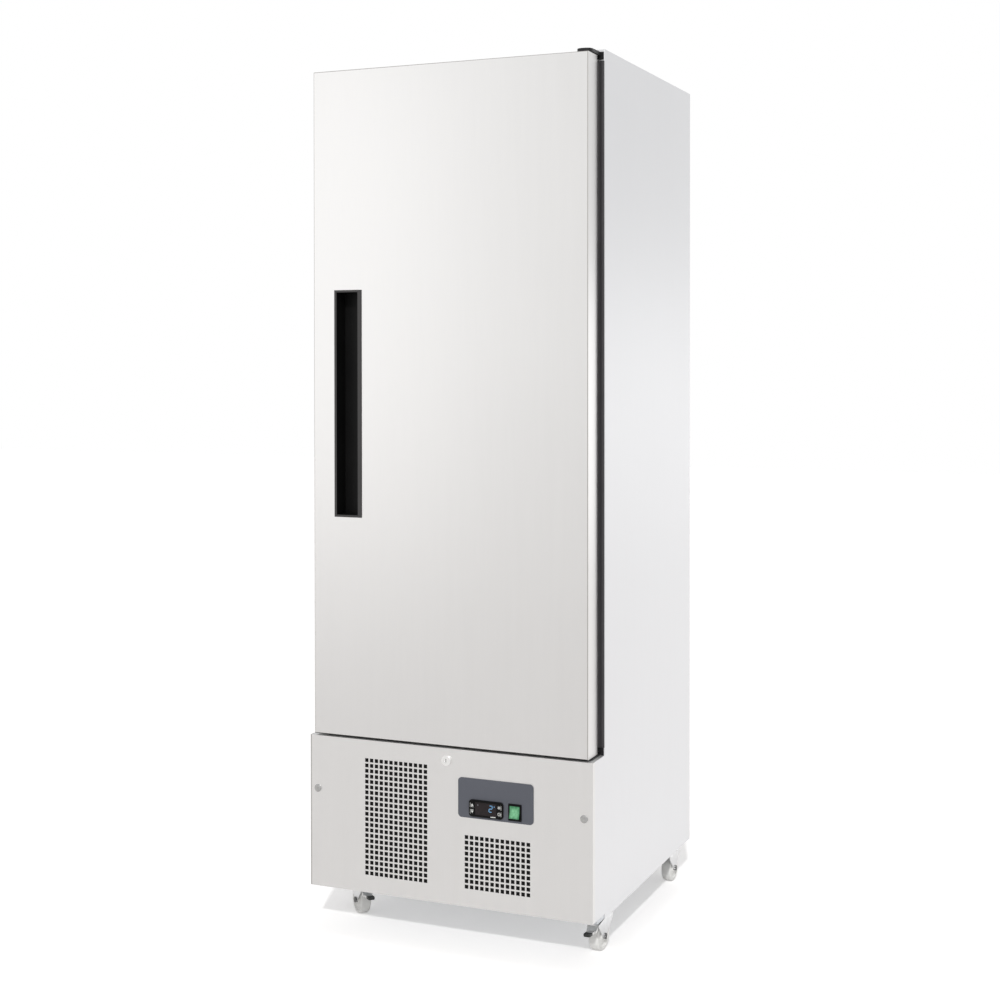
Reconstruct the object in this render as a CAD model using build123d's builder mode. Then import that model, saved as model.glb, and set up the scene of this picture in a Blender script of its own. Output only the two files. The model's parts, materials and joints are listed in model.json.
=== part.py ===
from build123d import *
import math
import os

os.makedirs("parts", exist_ok=True)

# An upright refrigerated cabinet, in millimetres. The origin is on the floor under the
# middle of the cabinet, +Z is up, and the door faces -Y.

# Cabinet body
cabinet_width = 680.0
cabinet_depth = 700.0
cabinet_height = 1950.0
floor_clearance = 90.0  # floor to the lower edge of the side panels
outer_sheet = 1.0
bend_radius = 2.0  # outside radius of the folded edges
face_return = 24.0  # fold of the side panels round the door opening
top_fold = 24.0
corner_relief_height = 11.5  # how much the lower front corners are cut short
corner_relief_length = 72.0

# Insulated walls and the steel liner of the cold compartment
side_wall = 60.0
back_wall = 60.0
ceiling_wall = 60.0
floor_wall = 58.0
liner_sheet = 0.8
liner_corner_radius = 12.0

# Machine compartment
lower_panel_height = 340.5
panel_side_return = 14.0
screw_flange = 36.0  # flange of the side panels behind the lower panel
deck_fold = 12.0
base_sheet = 2.0
base_recess = 2.0  # lower edge of the side panels to the base pan
base_setback = 30.0
base_flange = 30.0
panel_fold = 18.0

# Lower panel: air grilles, control openings, screws
grille_hole = 7.0
grille_pitch_x = 12.1
grille_pitch_z = 12.0
grille_columns = 13
intake_rows = 22
outlet_rows = 10
grille_base = 43.8  # panel's lower edge to the lowest row
intake_inset = 216.6  # left side to the middle of the left grille
outlet_inset = 219.2  # right side to the middle of the right grille
panel_screw_inset = 19.5
panel_screw_height = 221.0  # above the panel's lower edge
panel_screw_head = 17.0
panel_screw_dome = 3.0
panel_screw_bevel = 2.0
panel_screw_shank = 4.0
panel_screw_length = 9.0

# Control plate, digital controller and power switch
plate_width = 176.7
plate_height = 86.5
plate_thickness = 1.5
plate_corner = 8.5
plate_inset = 222.8  # right side to the plate's centre
plate_rise = 238.1  # panel's lower edge to the plate's centre
control_drop = 20.1  # plate's centre to the centre line of the controls
controller_shift = -21.1
controller_width = 80.5
controller_height = 36.5
controller_bezel = 4.0
controller_corner = 7.0
controller_edge = 1.0
controller_body_width = 70.6
controller_body_height = 28.6
controller_body_depth = 55.0
display_width = 50.0
display_height = 27.0
display_thickness = 1.2
key_width = 9.0
key_height = 11.0
key_pitch = 14.0
key_column = 32.4  # controller's centre to each column of keys
key_thickness = 2.0
key_proud = 0.4
key_travel = 1.0
switch_shift = 46.1
switch_width = 30.5
switch_height = 36.0
switch_bezel = 3.0
switch_edge = 1.0
switch_body_width = 27.4
switch_body_height = 32.0
switch_body_depth = 24.0
rocker_width = 22.8
rocker_height = 28.0
rocker_angle = 11.0  # each half of the rocker against the plate
rocker_rise = 2.6  # pivot to the valley between the halves
rocker_pin_radius = 1.5
rocker_pin_length = 1.5
rocker_recess = 2.5  # bezel's front to the pivot
rocker_lift = 21.5  # where each half meets the end of the rocker

# Key lock and its cam
lock_drop = 26.7  # panel's upper edge to the lock's axis
lock_radius = 9.5
lock_rim_radius = 11.0
lock_rim = 3.0
lock_length = 20.0
plug_radius = 6.0
key_slot_width = 1.4
key_slot_length = 8.0
key_slot_depth = 6.0
plug_sink = 0.6
cam_length = 44.0
cam_width = 14.0
cam_thickness = 2.5
cam_slot_margin = 3.0

# Door
door_gap = 4.7
door_side_margin = 11.0
door_top_margin = 15.3
door_depth = 58.0
door_liner_sheet = 2.0
door_plateau_inset = 12.0  # gasket to the raised middle of the door liner
door_plateau_rise = 10.0
door_plateau_edge = 5.0
gasket_space = 16.0  # back of the door to the face of the cabinet
gasket_width = 24.0
gasket_overlap = 7.0  # opening edge to the gasket
gasket_wall = 5.0
gasket_foot = 3.0
gasket_bellows = 5.0
gasket_edge = 1.7
dart_width = 6.0
dart_depth = 5.0

# Recessed door handle
handle_width = 68.6
handle_height = 507.4
handle_edge = 53.0  # door's free edge to the handle
handle_flange = 2.5
handle_edge_bevel = 1.2
handle_lip = 6.4
handle_grip_lip = 9.0
handle_end_lip = 5.0
handle_depth = 40.0
handle_wall = 2.0
handle_cut_margin = 2.0

# Door hinges
pin_inset = 15.0  # door's hinge edge to the pins
pin_setback = 28.0
pin_radius = 4.0
pin_reach = 22.0
bush_radius = 7.0
bush_flange_radius = 10.0
bush_flange = 1.4
bush_length = 26.0
bracket_half_width = 17.0
hinge_plate = 3.0
hinge_arm = 8.0
hinge_arm_tip = 7.0
hinge_foot_height = 16.0
hinge_foot_edge = 2.0  # side of the cabinet to the feet
hinge_nose = 17.0  # pin to the front of the brackets
nose_round_share = 0.8

# Shelves, uprights and runners
shelf_rises = (100.0, 485.0, 870.0)  # floor of the liner to each shelf
shelf_side_gap = 3.0
shelf_front_gap = 26.0
shelf_back_gap = 12.0
shelf_rod = 6.0
shelf_wire = 3.0
shelf_wire_count = 10
shelf_brace_count = 1
upright_width = 20.0
upright_depth = 8.0
upright_sheet = 1.2
upright_spacing = 360.0
upright_margin = 30.0
upright_slot_width = 8.0
upright_slot_height = 16.0
upright_slot_count = 5
runner_height = 22.0
runner_ledge = 16.0
runner_sheet = 1.2
runner_length = 500.0

# Evaporator unit under the ceiling
cover_width = 460.0
cover_height = 114.0
cover_depth = 255.0
cover_sheet = 1.2
cover_fold_angle = 45.0
cover_slot_height = 5.0
cover_slot_pitch = 11.0
cover_outlet_slots = 8
cover_outlet_width = 110.0
cover_intake_slots = 6
cover_intake_margin = 16.5  # back wall to the first intake slot
cover_lean = 28.5  # sloping front part of the cover's underside
cover_intake_width = 300.0
evaporator_width = 340.0
evaporator_height = 84.0
evaporator_depth = 90.0
evaporator_gap = 14.0
evaporator_fan_radius = 38.0
evaporator_fan_hub = 16.0
evaporator_fan_depth = 16.0
evaporator_motor_radius = 22.0
evaporator_motor_length = 34.0
evaporator_fan_gap = 10.0
coil_fin_pitch = 17.0
coil_fin_gap = 11.0
coil_fin_share = 0.42
motor_gap = 4.0  # fan's hub to its motor
shaft_engagement = 14.0
blade_count = 5
blade_pitch = 28.0
blade_thickness = 1.6
blade_fill = 0.62  # chord over the circumference that each blade has
blade_root_share = 0.6
blade_shoulder_share = 0.85

# Condensing unit
condenser_width = 190.0
condenser_height = 280.0
condenser_depth = 44.0
condenser_front_gap = 36.0  # lower panel to the condenser
condenser_lift = 31.0
condenser_fin_pitch = 9.5
condenser_fin_gap = 6.0
end_plate = 2.0
shroud_depth = 26.0
shroud_sheet = 1.2
condenser_fan_radius = 78.0
condenser_fan_hub = 22.0
condenser_fan_depth = 20.0
condenser_motor_radius = 40.0
condenser_motor_length = 48.0
fan_tip_gap = 5.0
fan_shaft_radius = 4.0
motor_strap_width = 22.0
motor_strap_thickness = 2.5
compressor_inset = 190.0  # right side to the shell's axis
compressor_y = 10.0
compressor_radius = 78.0
compressor_height = 178.0
compressor_foot_width = 200.0
compressor_foot_depth = 130.0
compressor_foot_sheet = 3.0
compressor_dome = 18.0
discharge_share = 0.75  # height of the discharge stub on the shell
terminal_width = 56.0
terminal_depth = 18.0
grommet_radius = 11.0
grommet_height = 16.0
grommet_inset = 16.0
pipe_radius = 5.0
pipe_bend = 24.0
pipe_clearance = 0.5
suction_offset = 20.0  # liquid line to the suction line
drier_radius = 13.0
drier_length = 90.0
drier_offset = 60.0
riser_inset = 190.0  # left side to the liquid line in the back wall
tray_width = 300.0
tray_shift = 50.0  # liquid line to the middle of the tray
tray_depth = 150.0
tray_height = 36.0
tray_wall = 2.0
vent_slot_height = 6.0
vent_slot_pitch = 30.0
vent_slot_count = 8
vent_gland_gap = 35.0  # ends of the slots to the axis of the gland
gland_radius = 11.0
gland_bore = 4.5
gland_neck = 8.0
gland_nut = 8.0
hexagon = 6
gland_inset = 50.0
gland_height = 60.0

# Casters
wheel_radius = 31.5
wheel_width = 24.0
axle_radius = 4.0
running_clearance = 0.08
caster_inset_x = 33.0
front_caster_setback = 160.0
rear_caster_setback = 88.0
caster_trail = 27.0
caster_plate_size = 60.0
caster_plate_sheet = 2.5
race_radius = 21.0
race_height = 6.0
kingpin_radius = 5.0
kingpin_head_radius = 8.0
kingpin_head = 2.5
fork_sheet = 2.5
hood_clearance = 6.0
hood_reach = 33.0
hood_drop = 7.0  # how much the hood falls to its front end
fork_boss_radius = 8.0
fork_heel = 15.0
hood_side = 9.0
hood_rim = 5.0
crown_radius = 18.0
axle_head = 2.5
axle_nut_radius = 7.0
pedal_thickness = 5.0
pedal_neck = 12.0  # pivot to the toe piece
pedal_drop = 8.7  # pivot down to the toe piece
toe_length = 27.0
toe_width = 16.0
pedal_pin_radius = 1.8
pedal_pivot_inset = 4.0
front_right_turn = -4.0  # rest directions of the casters, from straight forward
front_left_turn = 49.0
back_right_turn = 180.0
back_left_turn = 165.0

running_gap = 0.3  # between pieces that move past each other

# Planes and edges that the pieces share
half_width = cabinet_width / 2
inside_x = half_width - outer_sheet
front_y = -cabinet_depth / 2
back_y = cabinet_depth / 2
panel_back = front_y + outer_sheet
panel_bottom = floor_clearance + corner_relief_height
deck_top = panel_bottom + lower_panel_height
deck_bottom = deck_top - outer_sheet
base_bottom = floor_clearance + base_recess
base_top = base_bottom + base_sheet
base_front = front_y + base_setback
top_bottom = cabinet_height - outer_sheet
door_bottom = deck_top + door_gap
door_top = cabinet_height - door_top_margin
door_half = half_width - door_side_margin
door_back = front_y + door_depth
face_y = door_back + gasket_space
liner_x = half_width - side_wall
liner_y = back_y - back_wall
liner_floor = deck_top + floor_wall
liner_ceiling = cabinet_height - ceiling_wall
pin_x = door_half - pin_inset
pin_y = front_y + pin_setback
intake_x = -half_width + intake_inset
outlet_x = half_width - outlet_inset
panel_screw_x = half_width - panel_screw_inset
plate_x = half_width - plate_inset
compressor_x = half_width - compressor_inset
riser_x = -half_width + riser_inset
gland_x = half_width - gland_inset


def facing_front(y):
    """The sketch plane at depth y that looks out of the front; X stays X, up stays up."""
    return Plane.XZ.offset(-y)


def block(x, y, z, mode=Mode.ADD):
    """A rectangular block between pairs of X, Y and Z, in the piece being built."""
    with Locations(((x[0] + x[1]) / 2, (y[0] + y[1]) / 2, (z[0] + z[1]) / 2)):
        Box(x[1] - x[0], y[1] - y[0], z[1] - z[0], mode=mode)


# Side panels: one folded sheet each. The skin steps back above the deck to make room for
# the door. Its front edge folds inwards round the door opening, and below the deck it is
# joggled behind the lower panel and folded into the flange that takes the panel's screws.
skin_front = front_y + panel_side_return
with BuildPart() as side_panel_right:
    with BuildSketch(Plane.XY.offset(deck_top)) as upper_section:
        with BuildLine():
            Polyline(
                (inside_x, back_y),
                (half_width, back_y),
                (half_width, face_y),
                (half_width - face_return, face_y),
                (half_width - face_return, face_y + outer_sheet),
                (inside_x, face_y + outer_sheet),
                close=True,
            )
        make_face()
        face_corner = upper_section.vertices().filter_by_position(Axis.Y, face_y, face_y)
        fillet(face_corner.sort_by(Axis.X)[-1], radius=bend_radius)
    extrude(amount=cabinet_height - deck_top)
    block((half_width - face_return, inside_x), (face_y, back_y), (top_bottom, cabinet_height), Mode.SUBTRACT)
    with BuildSketch(Plane.YZ.offset(inside_x)):
        with BuildLine():
            Polyline(
                (back_y, floor_clearance),
                (front_y + corner_relief_length, floor_clearance),
                (front_y + corner_relief_length, panel_bottom),
                (skin_front, panel_bottom),
                (skin_front, deck_top),
                (back_y, deck_top),
                close=True,
            )
        make_face()
    extrude(amount=outer_sheet)
    joggle_x = (inside_x - outer_sheet, inside_x)
    block(joggle_x, (panel_back, skin_front + panel_side_return), (panel_bottom, deck_bottom))
    flange_x = (half_width - screw_flange, inside_x)
    block(flange_x, (panel_back, panel_back + outer_sheet), (panel_bottom, deck_bottom))
    with BuildSketch(facing_front(panel_back + outer_sheet)):
        with Locations((panel_screw_x, panel_bottom + panel_screw_height)):
            Circle(panel_screw_shank / 2)
    extrude(amount=outer_sheet, mode=Mode.SUBTRACT)
side_panel_right.part.label = "side_panel_right"
export_step(side_panel_right.part, "parts/side_panel_right.step")

with BuildPart() as side_panel_left:
    mirror(side_panel_right.part, about=Plane.YZ)
side_panel_left.part.label = "side_panel_left"
export_step(side_panel_left.part, "parts/side_panel_left.step")

# Top panel: a sheet with a fold down over the front of the ceiling insulation.
with BuildPart() as top_panel:
    block((-inside_x, inside_x), (face_y, back_y), (top_bottom, cabinet_height))
    fold_x = half_width - face_return
    block((-fold_x, fold_x), (face_y, face_y + outer_sheet), (cabinet_height - top_fold, cabinet_height))
    top_front = top_panel.edges().filter_by(Axis.X).filter_by_position(Axis.Y, face_y, face_y)
    fillet(top_front.sort_by(Axis.Z)[-1], radius=outer_sheet)
top_panel.part.label = "top_panel"
export_step(top_panel.part, "parts/top_panel.step")

# Back panel: a flat sheet over the insulated back, from the deck to the top.
with BuildPart() as back_panel:
    block((-inside_x, inside_x), (back_y - outer_sheet, back_y), (deck_top, top_bottom))
back_panel.part.label = "back_panel"
export_step(back_panel.part, "parts/back_panel.step")

# Deck: the sheet between the cold and the machine compartments. Its front part is the
# ledge under the door, with a slot for the lock's cam and a fold behind the lower panel.
lock_z = deck_top - lock_drop
cam_back = panel_back + lock_length
cam_y = (cam_back, cam_back + cam_thickness)
cam_reach = math.hypot(cam_length, cam_width / 2)


def cam_slot(z, height, mode):
    """The slot that the turning cam needs through a horizontal sheet at height z."""
    swing = math.sqrt(cam_reach**2 - (z - lock_z) ** 2) + cam_slot_margin
    slot_x = (-cam_width / 2 - cam_slot_margin, swing)
    slot_y = (cam_y[0] - cam_slot_margin, cam_y[1] + cam_slot_margin)
    block(slot_x, slot_y, (z, z + height), mode=mode)


riser_y = back_y - back_wall / 2
suction_x = riser_x - suction_offset
with BuildPart() as deck_panel:
    block((-inside_x, inside_x), (panel_back, back_y - outer_sheet), (deck_bottom, deck_top))
    fold_x = half_width - screw_flange
    block((-fold_x, fold_x), (panel_back, panel_back + outer_sheet), (deck_top - deck_fold, deck_top))
    cam_slot(deck_bottom, outer_sheet, Mode.SUBTRACT)
    with BuildSketch(Plane.XY.offset(deck_bottom)):
        with Locations((riser_x, riser_y), (suction_x, riser_y)):
            Circle(pipe_radius + pipe_clearance)
    extrude(amount=outer_sheet, mode=Mode.SUBTRACT)
deck_panel.part.label = "deck_panel"
export_step(deck_panel.part, "parts/deck_panel.step")

# Wall insulation: foam between the outer sheets and the liner, open at the front. A
# channel in its back wall takes the two refrigerant lines.
foam_front = face_y + outer_sheet
with BuildPart() as wall_insulation:
    block((-inside_x, inside_x), (foam_front, back_y - outer_sheet), (deck_top, top_bottom))
    with BuildSketch(facing_front(liner_y)):
        with Locations((0, (liner_floor + liner_ceiling) / 2)):
            RectangleRounded(2 * liner_x, liner_ceiling - liner_floor, liner_corner_radius)
    extrude(amount=liner_y - foam_front, mode=Mode.SUBTRACT)
    unit_z = liner_ceiling - liner_sheet - evaporator_height / 2 - evaporator_gap
    pipe_room = pipe_radius + pipe_clearance
    channel_x = (suction_x - pipe_room, riser_x + pipe_room)
    channel_y = (riser_y - pipe_room, riser_y + pipe_room)
    block(channel_x, channel_y, (deck_top, unit_z + pipe_room), mode=Mode.SUBTRACT)
    bend_z = (unit_z - pipe_bend - pipe_room, unit_z + pipe_room)
    block(channel_x, (liner_y, channel_y[1]), bend_z, mode=Mode.SUBTRACT)
wall_insulation.part.label = "wall_insulation"
export_step(wall_insulation.part, "parts/wall_insulation.step")

# Inner liner: a deep steel tub with rounded corners, whose front flange is the face that
# the door's gasket seals on.
with BuildPart() as inner_liner:
    with BuildSketch(facing_front(liner_y)):
        with Locations((0, (liner_floor + liner_ceiling) / 2)):
            RectangleRounded(2 * liner_x, liner_ceiling - liner_floor, liner_corner_radius)
    extrude(amount=liner_y - face_y)
    flange_x = half_width - face_return
    flange_z = (deck_top, cabinet_height - top_fold)
    block((-flange_x, flange_x), (face_y, face_y + liner_sheet), flange_z)
    with BuildSketch(facing_front(liner_y - liner_sheet)):
        with Locations((0, (liner_floor + liner_ceiling) / 2)):
            RectangleRounded(
                2 * (liner_x - liner_sheet),
                liner_ceiling - liner_floor - 2 * liner_sheet,
                liner_corner_radius - liner_sheet,
            )
    extrude(amount=liner_y - face_y, mode=Mode.SUBTRACT)
    with BuildSketch(facing_front(liner_y)):
        with Locations((riser_x, unit_z), (suction_x, unit_z)):
            Circle(pipe_radius + pipe_clearance)
    extrude(amount=liner_sheet, mode=Mode.SUBTRACT)
inner_liner.part.label = "inner_liner"
export_step(inner_liner.part, "parts/inner_liner.step")

# Shelf uprights: four channel strips on the side walls, slotted for the shelf runners.
cell_x = liner_x - liner_sheet
cell_back = liner_y - liner_sheet
cell_floor = liner_floor + liner_sheet
cell_ceiling = liner_ceiling - liner_sheet
cell_middle = (face_y + cell_back) / 2
upright_bottom = cell_floor + upright_margin
upright_top = cell_ceiling - cover_height - upright_margin
upright_ys = (cell_middle - upright_spacing / 2, cell_middle + upright_spacing / 2)
upright_face = cell_x - upright_depth
shelf_heights = [liner_floor + rise for rise in shelf_rises]
slot_pitch = (shelf_heights[1] - shelf_heights[0]) / 2
slot_base = shelf_heights[0] - runner_height / 2 - shelf_rod
with BuildPart() as shelf_uprights:
    for side in (-1, 1):
        for upright_y in upright_ys:
            wall = sorted((side * upright_face, side * cell_x))
            half = upright_width / 2
            span_z = (upright_bottom, upright_top)
            block(wall, (upright_y - half, upright_y + half), span_z)
            hollow = sorted((side * (upright_face + upright_sheet), side * cell_x))
            inner = half - upright_sheet
            block(hollow, (upright_y - inner, upright_y + inner), span_z, mode=Mode.SUBTRACT)
            for step in range(upright_slot_count):
                slot_z = slot_base + (step - 1) * slot_pitch
                slot_half = upright_slot_width / 2
                block(
                    sorted((side * upright_face, side * (upright_face + upright_sheet))),
                    (upright_y - slot_half, upright_y + slot_half),
                    (slot_z, slot_z + upright_slot_height),
                    mode=Mode.SUBTRACT,
                )
shelf_uprights.part.label = "shelf_uprights"
export_step(shelf_uprights.part, "parts/shelf_uprights.step")

# Shelf runners: a pair of angle rails for each shelf, hung on the uprights.
runner_y = (cell_middle - runner_length / 2, cell_middle + runner_length / 2)
with BuildPart() as shelf_runners:
    for shelf_z in shelf_heights:
        ledge_top = shelf_z - shelf_rod / 2
        for side in (-1, 1):
            web = sorted((side * (upright_face - runner_sheet), side * upright_face))
            block(web, runner_y, (ledge_top - runner_sheet, ledge_top - runner_sheet + runner_height))
            ledge = sorted((side * (upright_face - runner_ledge), side * upright_face))
            block(ledge, runner_y, (ledge_top - runner_sheet, ledge_top))
shelf_runners.part.label = "shelf_runners"
export_step(shelf_runners.part, "parts/shelf_runners.step")

# Shelves: a bent rod frame, two braces and a row of wires from front to back. The frame
# rests on the ledges of its runners, and the wires lie on top of the frame.
shelf_half = upright_face - runner_sheet - shelf_side_gap
shelf_front = face_y + shelf_front_gap
shelf_back = cell_back - shelf_back_gap
wire_pitch = 2 * (shelf_half - shelf_rod) / (shelf_wire_count + 1)
brace_pitch = (shelf_back - shelf_front - shelf_rod) / (shelf_brace_count + 1)
for shelf_name, shelf_z in zip(("shelf_lower", "shelf_middle", "shelf_upper"), shelf_heights):
    rod_z = (shelf_z - shelf_rod / 2, shelf_z + shelf_rod / 2)
    with BuildPart() as shelf:
        block((-shelf_half, shelf_half), (shelf_front, shelf_back), rod_z)
        block(
            (-shelf_half + shelf_rod, shelf_half - shelf_rod),
            (shelf_front + shelf_rod, shelf_back - shelf_rod),
            rod_z,
            mode=Mode.SUBTRACT,
        )
        frame_corners = shelf.edges().filter_by(Axis.Z).sort_by(SortBy.DISTANCE)[-4:]
        chamfer(frame_corners, length=shelf_rod)
        for brace in range(1, shelf_brace_count + 1):
            brace_y = shelf_front + brace * brace_pitch
            inner_x = shelf_half - shelf_rod
            block((-inner_x, inner_x), (brace_y, brace_y + shelf_rod), rod_z)
        for wire in range(1, shelf_wire_count + 1):
            wire_x = -shelf_half + shelf_rod + wire * wire_pitch
            half = shelf_wire / 2
            block(
                (wire_x - half, wire_x + half),
                (shelf_front + shelf_rod / 2, shelf_back - shelf_rod / 2),
                (rod_z[1], rod_z[1] + shelf_wire),
            )
    shelf.part.label = shelf_name
    export_step(shelf.part, f"parts/{shelf_name}.step")


def blade_plane(turn):
    """The mid plane of a fan's blade: +X runs out from the axis, +Y along the chord."""
    angle = math.radians(turn)
    pitch = math.radians(blade_pitch)
    radial = Vector(math.cos(angle), 0, math.sin(angle))
    across = Vector(math.sin(angle) * math.sin(pitch), math.cos(pitch), -math.cos(angle) * math.sin(pitch))
    return Plane(origin=(0, 0, 0), x_dir=radial, z_dir=across)


def fan_rotor(radius, hub_radius, depth, shaft_length):
    """A fan that turns about Y: pitched blades round a hub, and a shaft behind it."""
    chord = blade_fill * math.pi * (radius + hub_radius) / blade_count
    with BuildPart() as rotor:
        for blade in range(blade_count):
            with BuildSketch(blade_plane(blade * 360 / blade_count)):
                with BuildLine():
                    root = chord * blade_root_share / 2
                    shoulder = radius * blade_shoulder_share
                    Polyline(
                        (0, -root),
                        (shoulder, -chord / 2),
                        (radius, -root),
                        (radius, root / 2),
                        (shoulder, chord / 2),
                        (0, root),
                        close=True,
                    )
                make_face()
            extrude(amount=blade_thickness / 2, both=True)
        with BuildSketch(facing_front(depth / 2)):
            Circle(hub_radius)
        extrude(amount=depth)
        with BuildSketch(facing_front(depth / 2 + shaft_length)):
            Circle(fan_shaft_radius)
        extrude(amount=shaft_length)
    return rotor.part


# Evaporator unit: a folded cover under the ceiling, open towards the ceiling and the back
# wall, with outlet slots in front of the fan and intake slots underneath.
cover_back = cell_back
cover_front = cover_back - cover_depth
cover_bottom = cell_ceiling - cover_height
with BuildPart() as evaporator_cover:
    cover_half = cover_width / 2
    block((-cover_half, cover_half), (cover_front, cover_back), (cover_bottom, cell_ceiling))
    cover_fold = evaporator_cover.edges().filter_by(Axis.X).sort_by(Axis.Z)[:2].sort_by(Axis.Y)[0]
    chamfer(cover_fold, length=cover_lean)
    hollow = cover_half - cover_sheet
    with BuildSketch(Plane.YZ.offset(-hollow)):
        with BuildLine():
            skin = cover_sheet * math.tan(math.radians(cover_fold_angle / 2))
            Polyline(
                (cover_back, cell_ceiling),
                (cover_front + cover_sheet, cell_ceiling),
                (cover_front + cover_sheet, cover_bottom + cover_lean + skin),
                (cover_front + cover_lean + skin, cover_bottom + cover_sheet),
                (cover_back, cover_bottom + cover_sheet),
                close=True,
            )
        make_face()
    extrude(amount=2 * hollow, mode=Mode.SUBTRACT)
    outlet_middle = (cover_bottom + cover_lean + cell_ceiling) / 2
    for slot in range(cover_outlet_slots):
        slot_z = outlet_middle + (slot - (cover_outlet_slots - 1) / 2) * cover_slot_pitch
        block(
            (-cover_outlet_width / 2, cover_outlet_width / 2),
            (cover_front, cover_front + cover_sheet),
            (slot_z - cover_slot_height / 2, slot_z + cover_slot_height / 2),
            mode=Mode.SUBTRACT,
        )
    for slot in range(cover_intake_slots):
        slot_y = cover_back - cover_intake_margin - cover_slot_pitch * slot
        block(
            (-cover_intake_width / 2, cover_intake_width / 2),
            (slot_y - cover_slot_height / 2, slot_y + cover_slot_height / 2),
            (cover_bottom, cover_bottom + cover_sheet),
            mode=Mode.SUBTRACT,
        )
evaporator_cover.part.label = "evaporator_cover"
export_step(evaporator_cover.part, "parts/evaporator_cover.step")

# Evaporator coil: finned block with end plates that hang it from the ceiling.
coil_front = cell_back - evaporator_gap - evaporator_depth


def finned_block(x, y, z, fin_pitch, fin_gap, fin_depth):
    """A coil's block of plate fins, slotted from the front and the back, in the current piece."""
    block(x, y, z)
    fin_count = int((x[1] - x[0]) / fin_pitch) - 1
    for fin in range(fin_count):
        gap_x = (x[0] + x[1]) / 2 + (fin - (fin_count - 1) / 2) * fin_pitch
        slot = (gap_x - fin_gap / 2, gap_x + fin_gap / 2)
        block(slot, (y[0], y[0] + fin_depth), z, mode=Mode.SUBTRACT)
        block(slot, (y[1] - fin_depth, y[1]), z, mode=Mode.SUBTRACT)


with BuildPart() as evaporator_coil:
    coil_half = evaporator_width / 2
    coil_y = (coil_front, coil_front + evaporator_depth)
    coil_z = (unit_z - evaporator_height / 2, unit_z + evaporator_height / 2)
    fin_depth = evaporator_depth * coil_fin_share
    finned_block((-coil_half, coil_half), coil_y, coil_z, coil_fin_pitch, coil_fin_gap, fin_depth)
    for side in (-1, 1):
        plate_x_span = sorted((side * coil_half, side * (coil_half + end_plate)))
        block(plate_x_span, coil_y, (coil_z[0], cell_ceiling))
evaporator_coil.part.label = "evaporator_coil"
export_step(evaporator_coil.part, "parts/evaporator_coil.step")


def fan_motor(radius, length, bore_depth):
    """A round fan motor about Y, its front face at Y = 0, with a bore for the shaft."""
    with BuildPart() as motor:
        with BuildSketch(facing_front(length)):
            Circle(radius)
        extrude(amount=length)
        with BuildSketch(facing_front(bore_depth)):
            Circle(fan_shaft_radius + running_clearance)
        extrude(amount=bore_depth, mode=Mode.SUBTRACT)
    return motor.part


# Evaporator fan: five blades on a hub, between the outlet slots and the coil.
fan_y = cover_front + cover_sheet + evaporator_fan_gap + evaporator_fan_depth / 2
motor_y = fan_y + evaporator_fan_depth / 2 + motor_gap
with BuildPart() as evaporator_fan:
    with Locations((0, fan_y, outlet_middle)):
        shaft = motor_gap + shaft_engagement
        add(fan_rotor(evaporator_fan_radius, evaporator_fan_hub, evaporator_fan_depth, shaft))
evaporator_fan.part.label = "evaporator_fan"
export_step(evaporator_fan.part, "parts/evaporator_fan.step")

# Evaporator fan motor: a small can on a strap from the ceiling.
with BuildPart() as evaporator_fan_motor:
    with Locations((0, motor_y, outlet_middle)):
        add(fan_motor(evaporator_motor_radius, evaporator_motor_length, shaft_engagement + running_gap))
    strap_y = (motor_y + evaporator_motor_length, motor_y + evaporator_motor_length + motor_strap_thickness)
    strap_half = motor_strap_width / 2
    block((-strap_half, strap_half), strap_y, (outlet_middle - strap_half, cell_ceiling))
    foot_y = (strap_y[0] - motor_strap_width, strap_y[1])
    block((-strap_half, strap_half), foot_y, (cell_ceiling - motor_strap_thickness, cell_ceiling))
evaporator_fan_motor.part.label = "evaporator_fan_motor"
export_step(evaporator_fan_motor.part, "parts/evaporator_fan_motor.step")

# Base pan: a folded sheet that joins the side panels and carries the compressor and casters.
with BuildPart() as base_frame:
    pan_y = (base_front, back_y - outer_sheet)
    block((-inside_x, inside_x), pan_y, (base_bottom, base_top + base_flange))
    hollow = inside_x - base_sheet
    block(
        (-hollow, hollow),
        (pan_y[0] + base_sheet, pan_y[1]),
        (base_top, base_top + base_flange),
        mode=Mode.SUBTRACT,
    )
base_frame.part.label = "base_frame"
export_step(base_frame.part, "parts/base_frame.step")

# Positions of the controls on the lower panel.
plate_z = panel_bottom + plate_rise
controls_z = plate_z - control_drop
controller_x = plate_x + controller_shift
switch_x = plate_x + switch_shift
plate_front = front_y - plate_thickness

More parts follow.
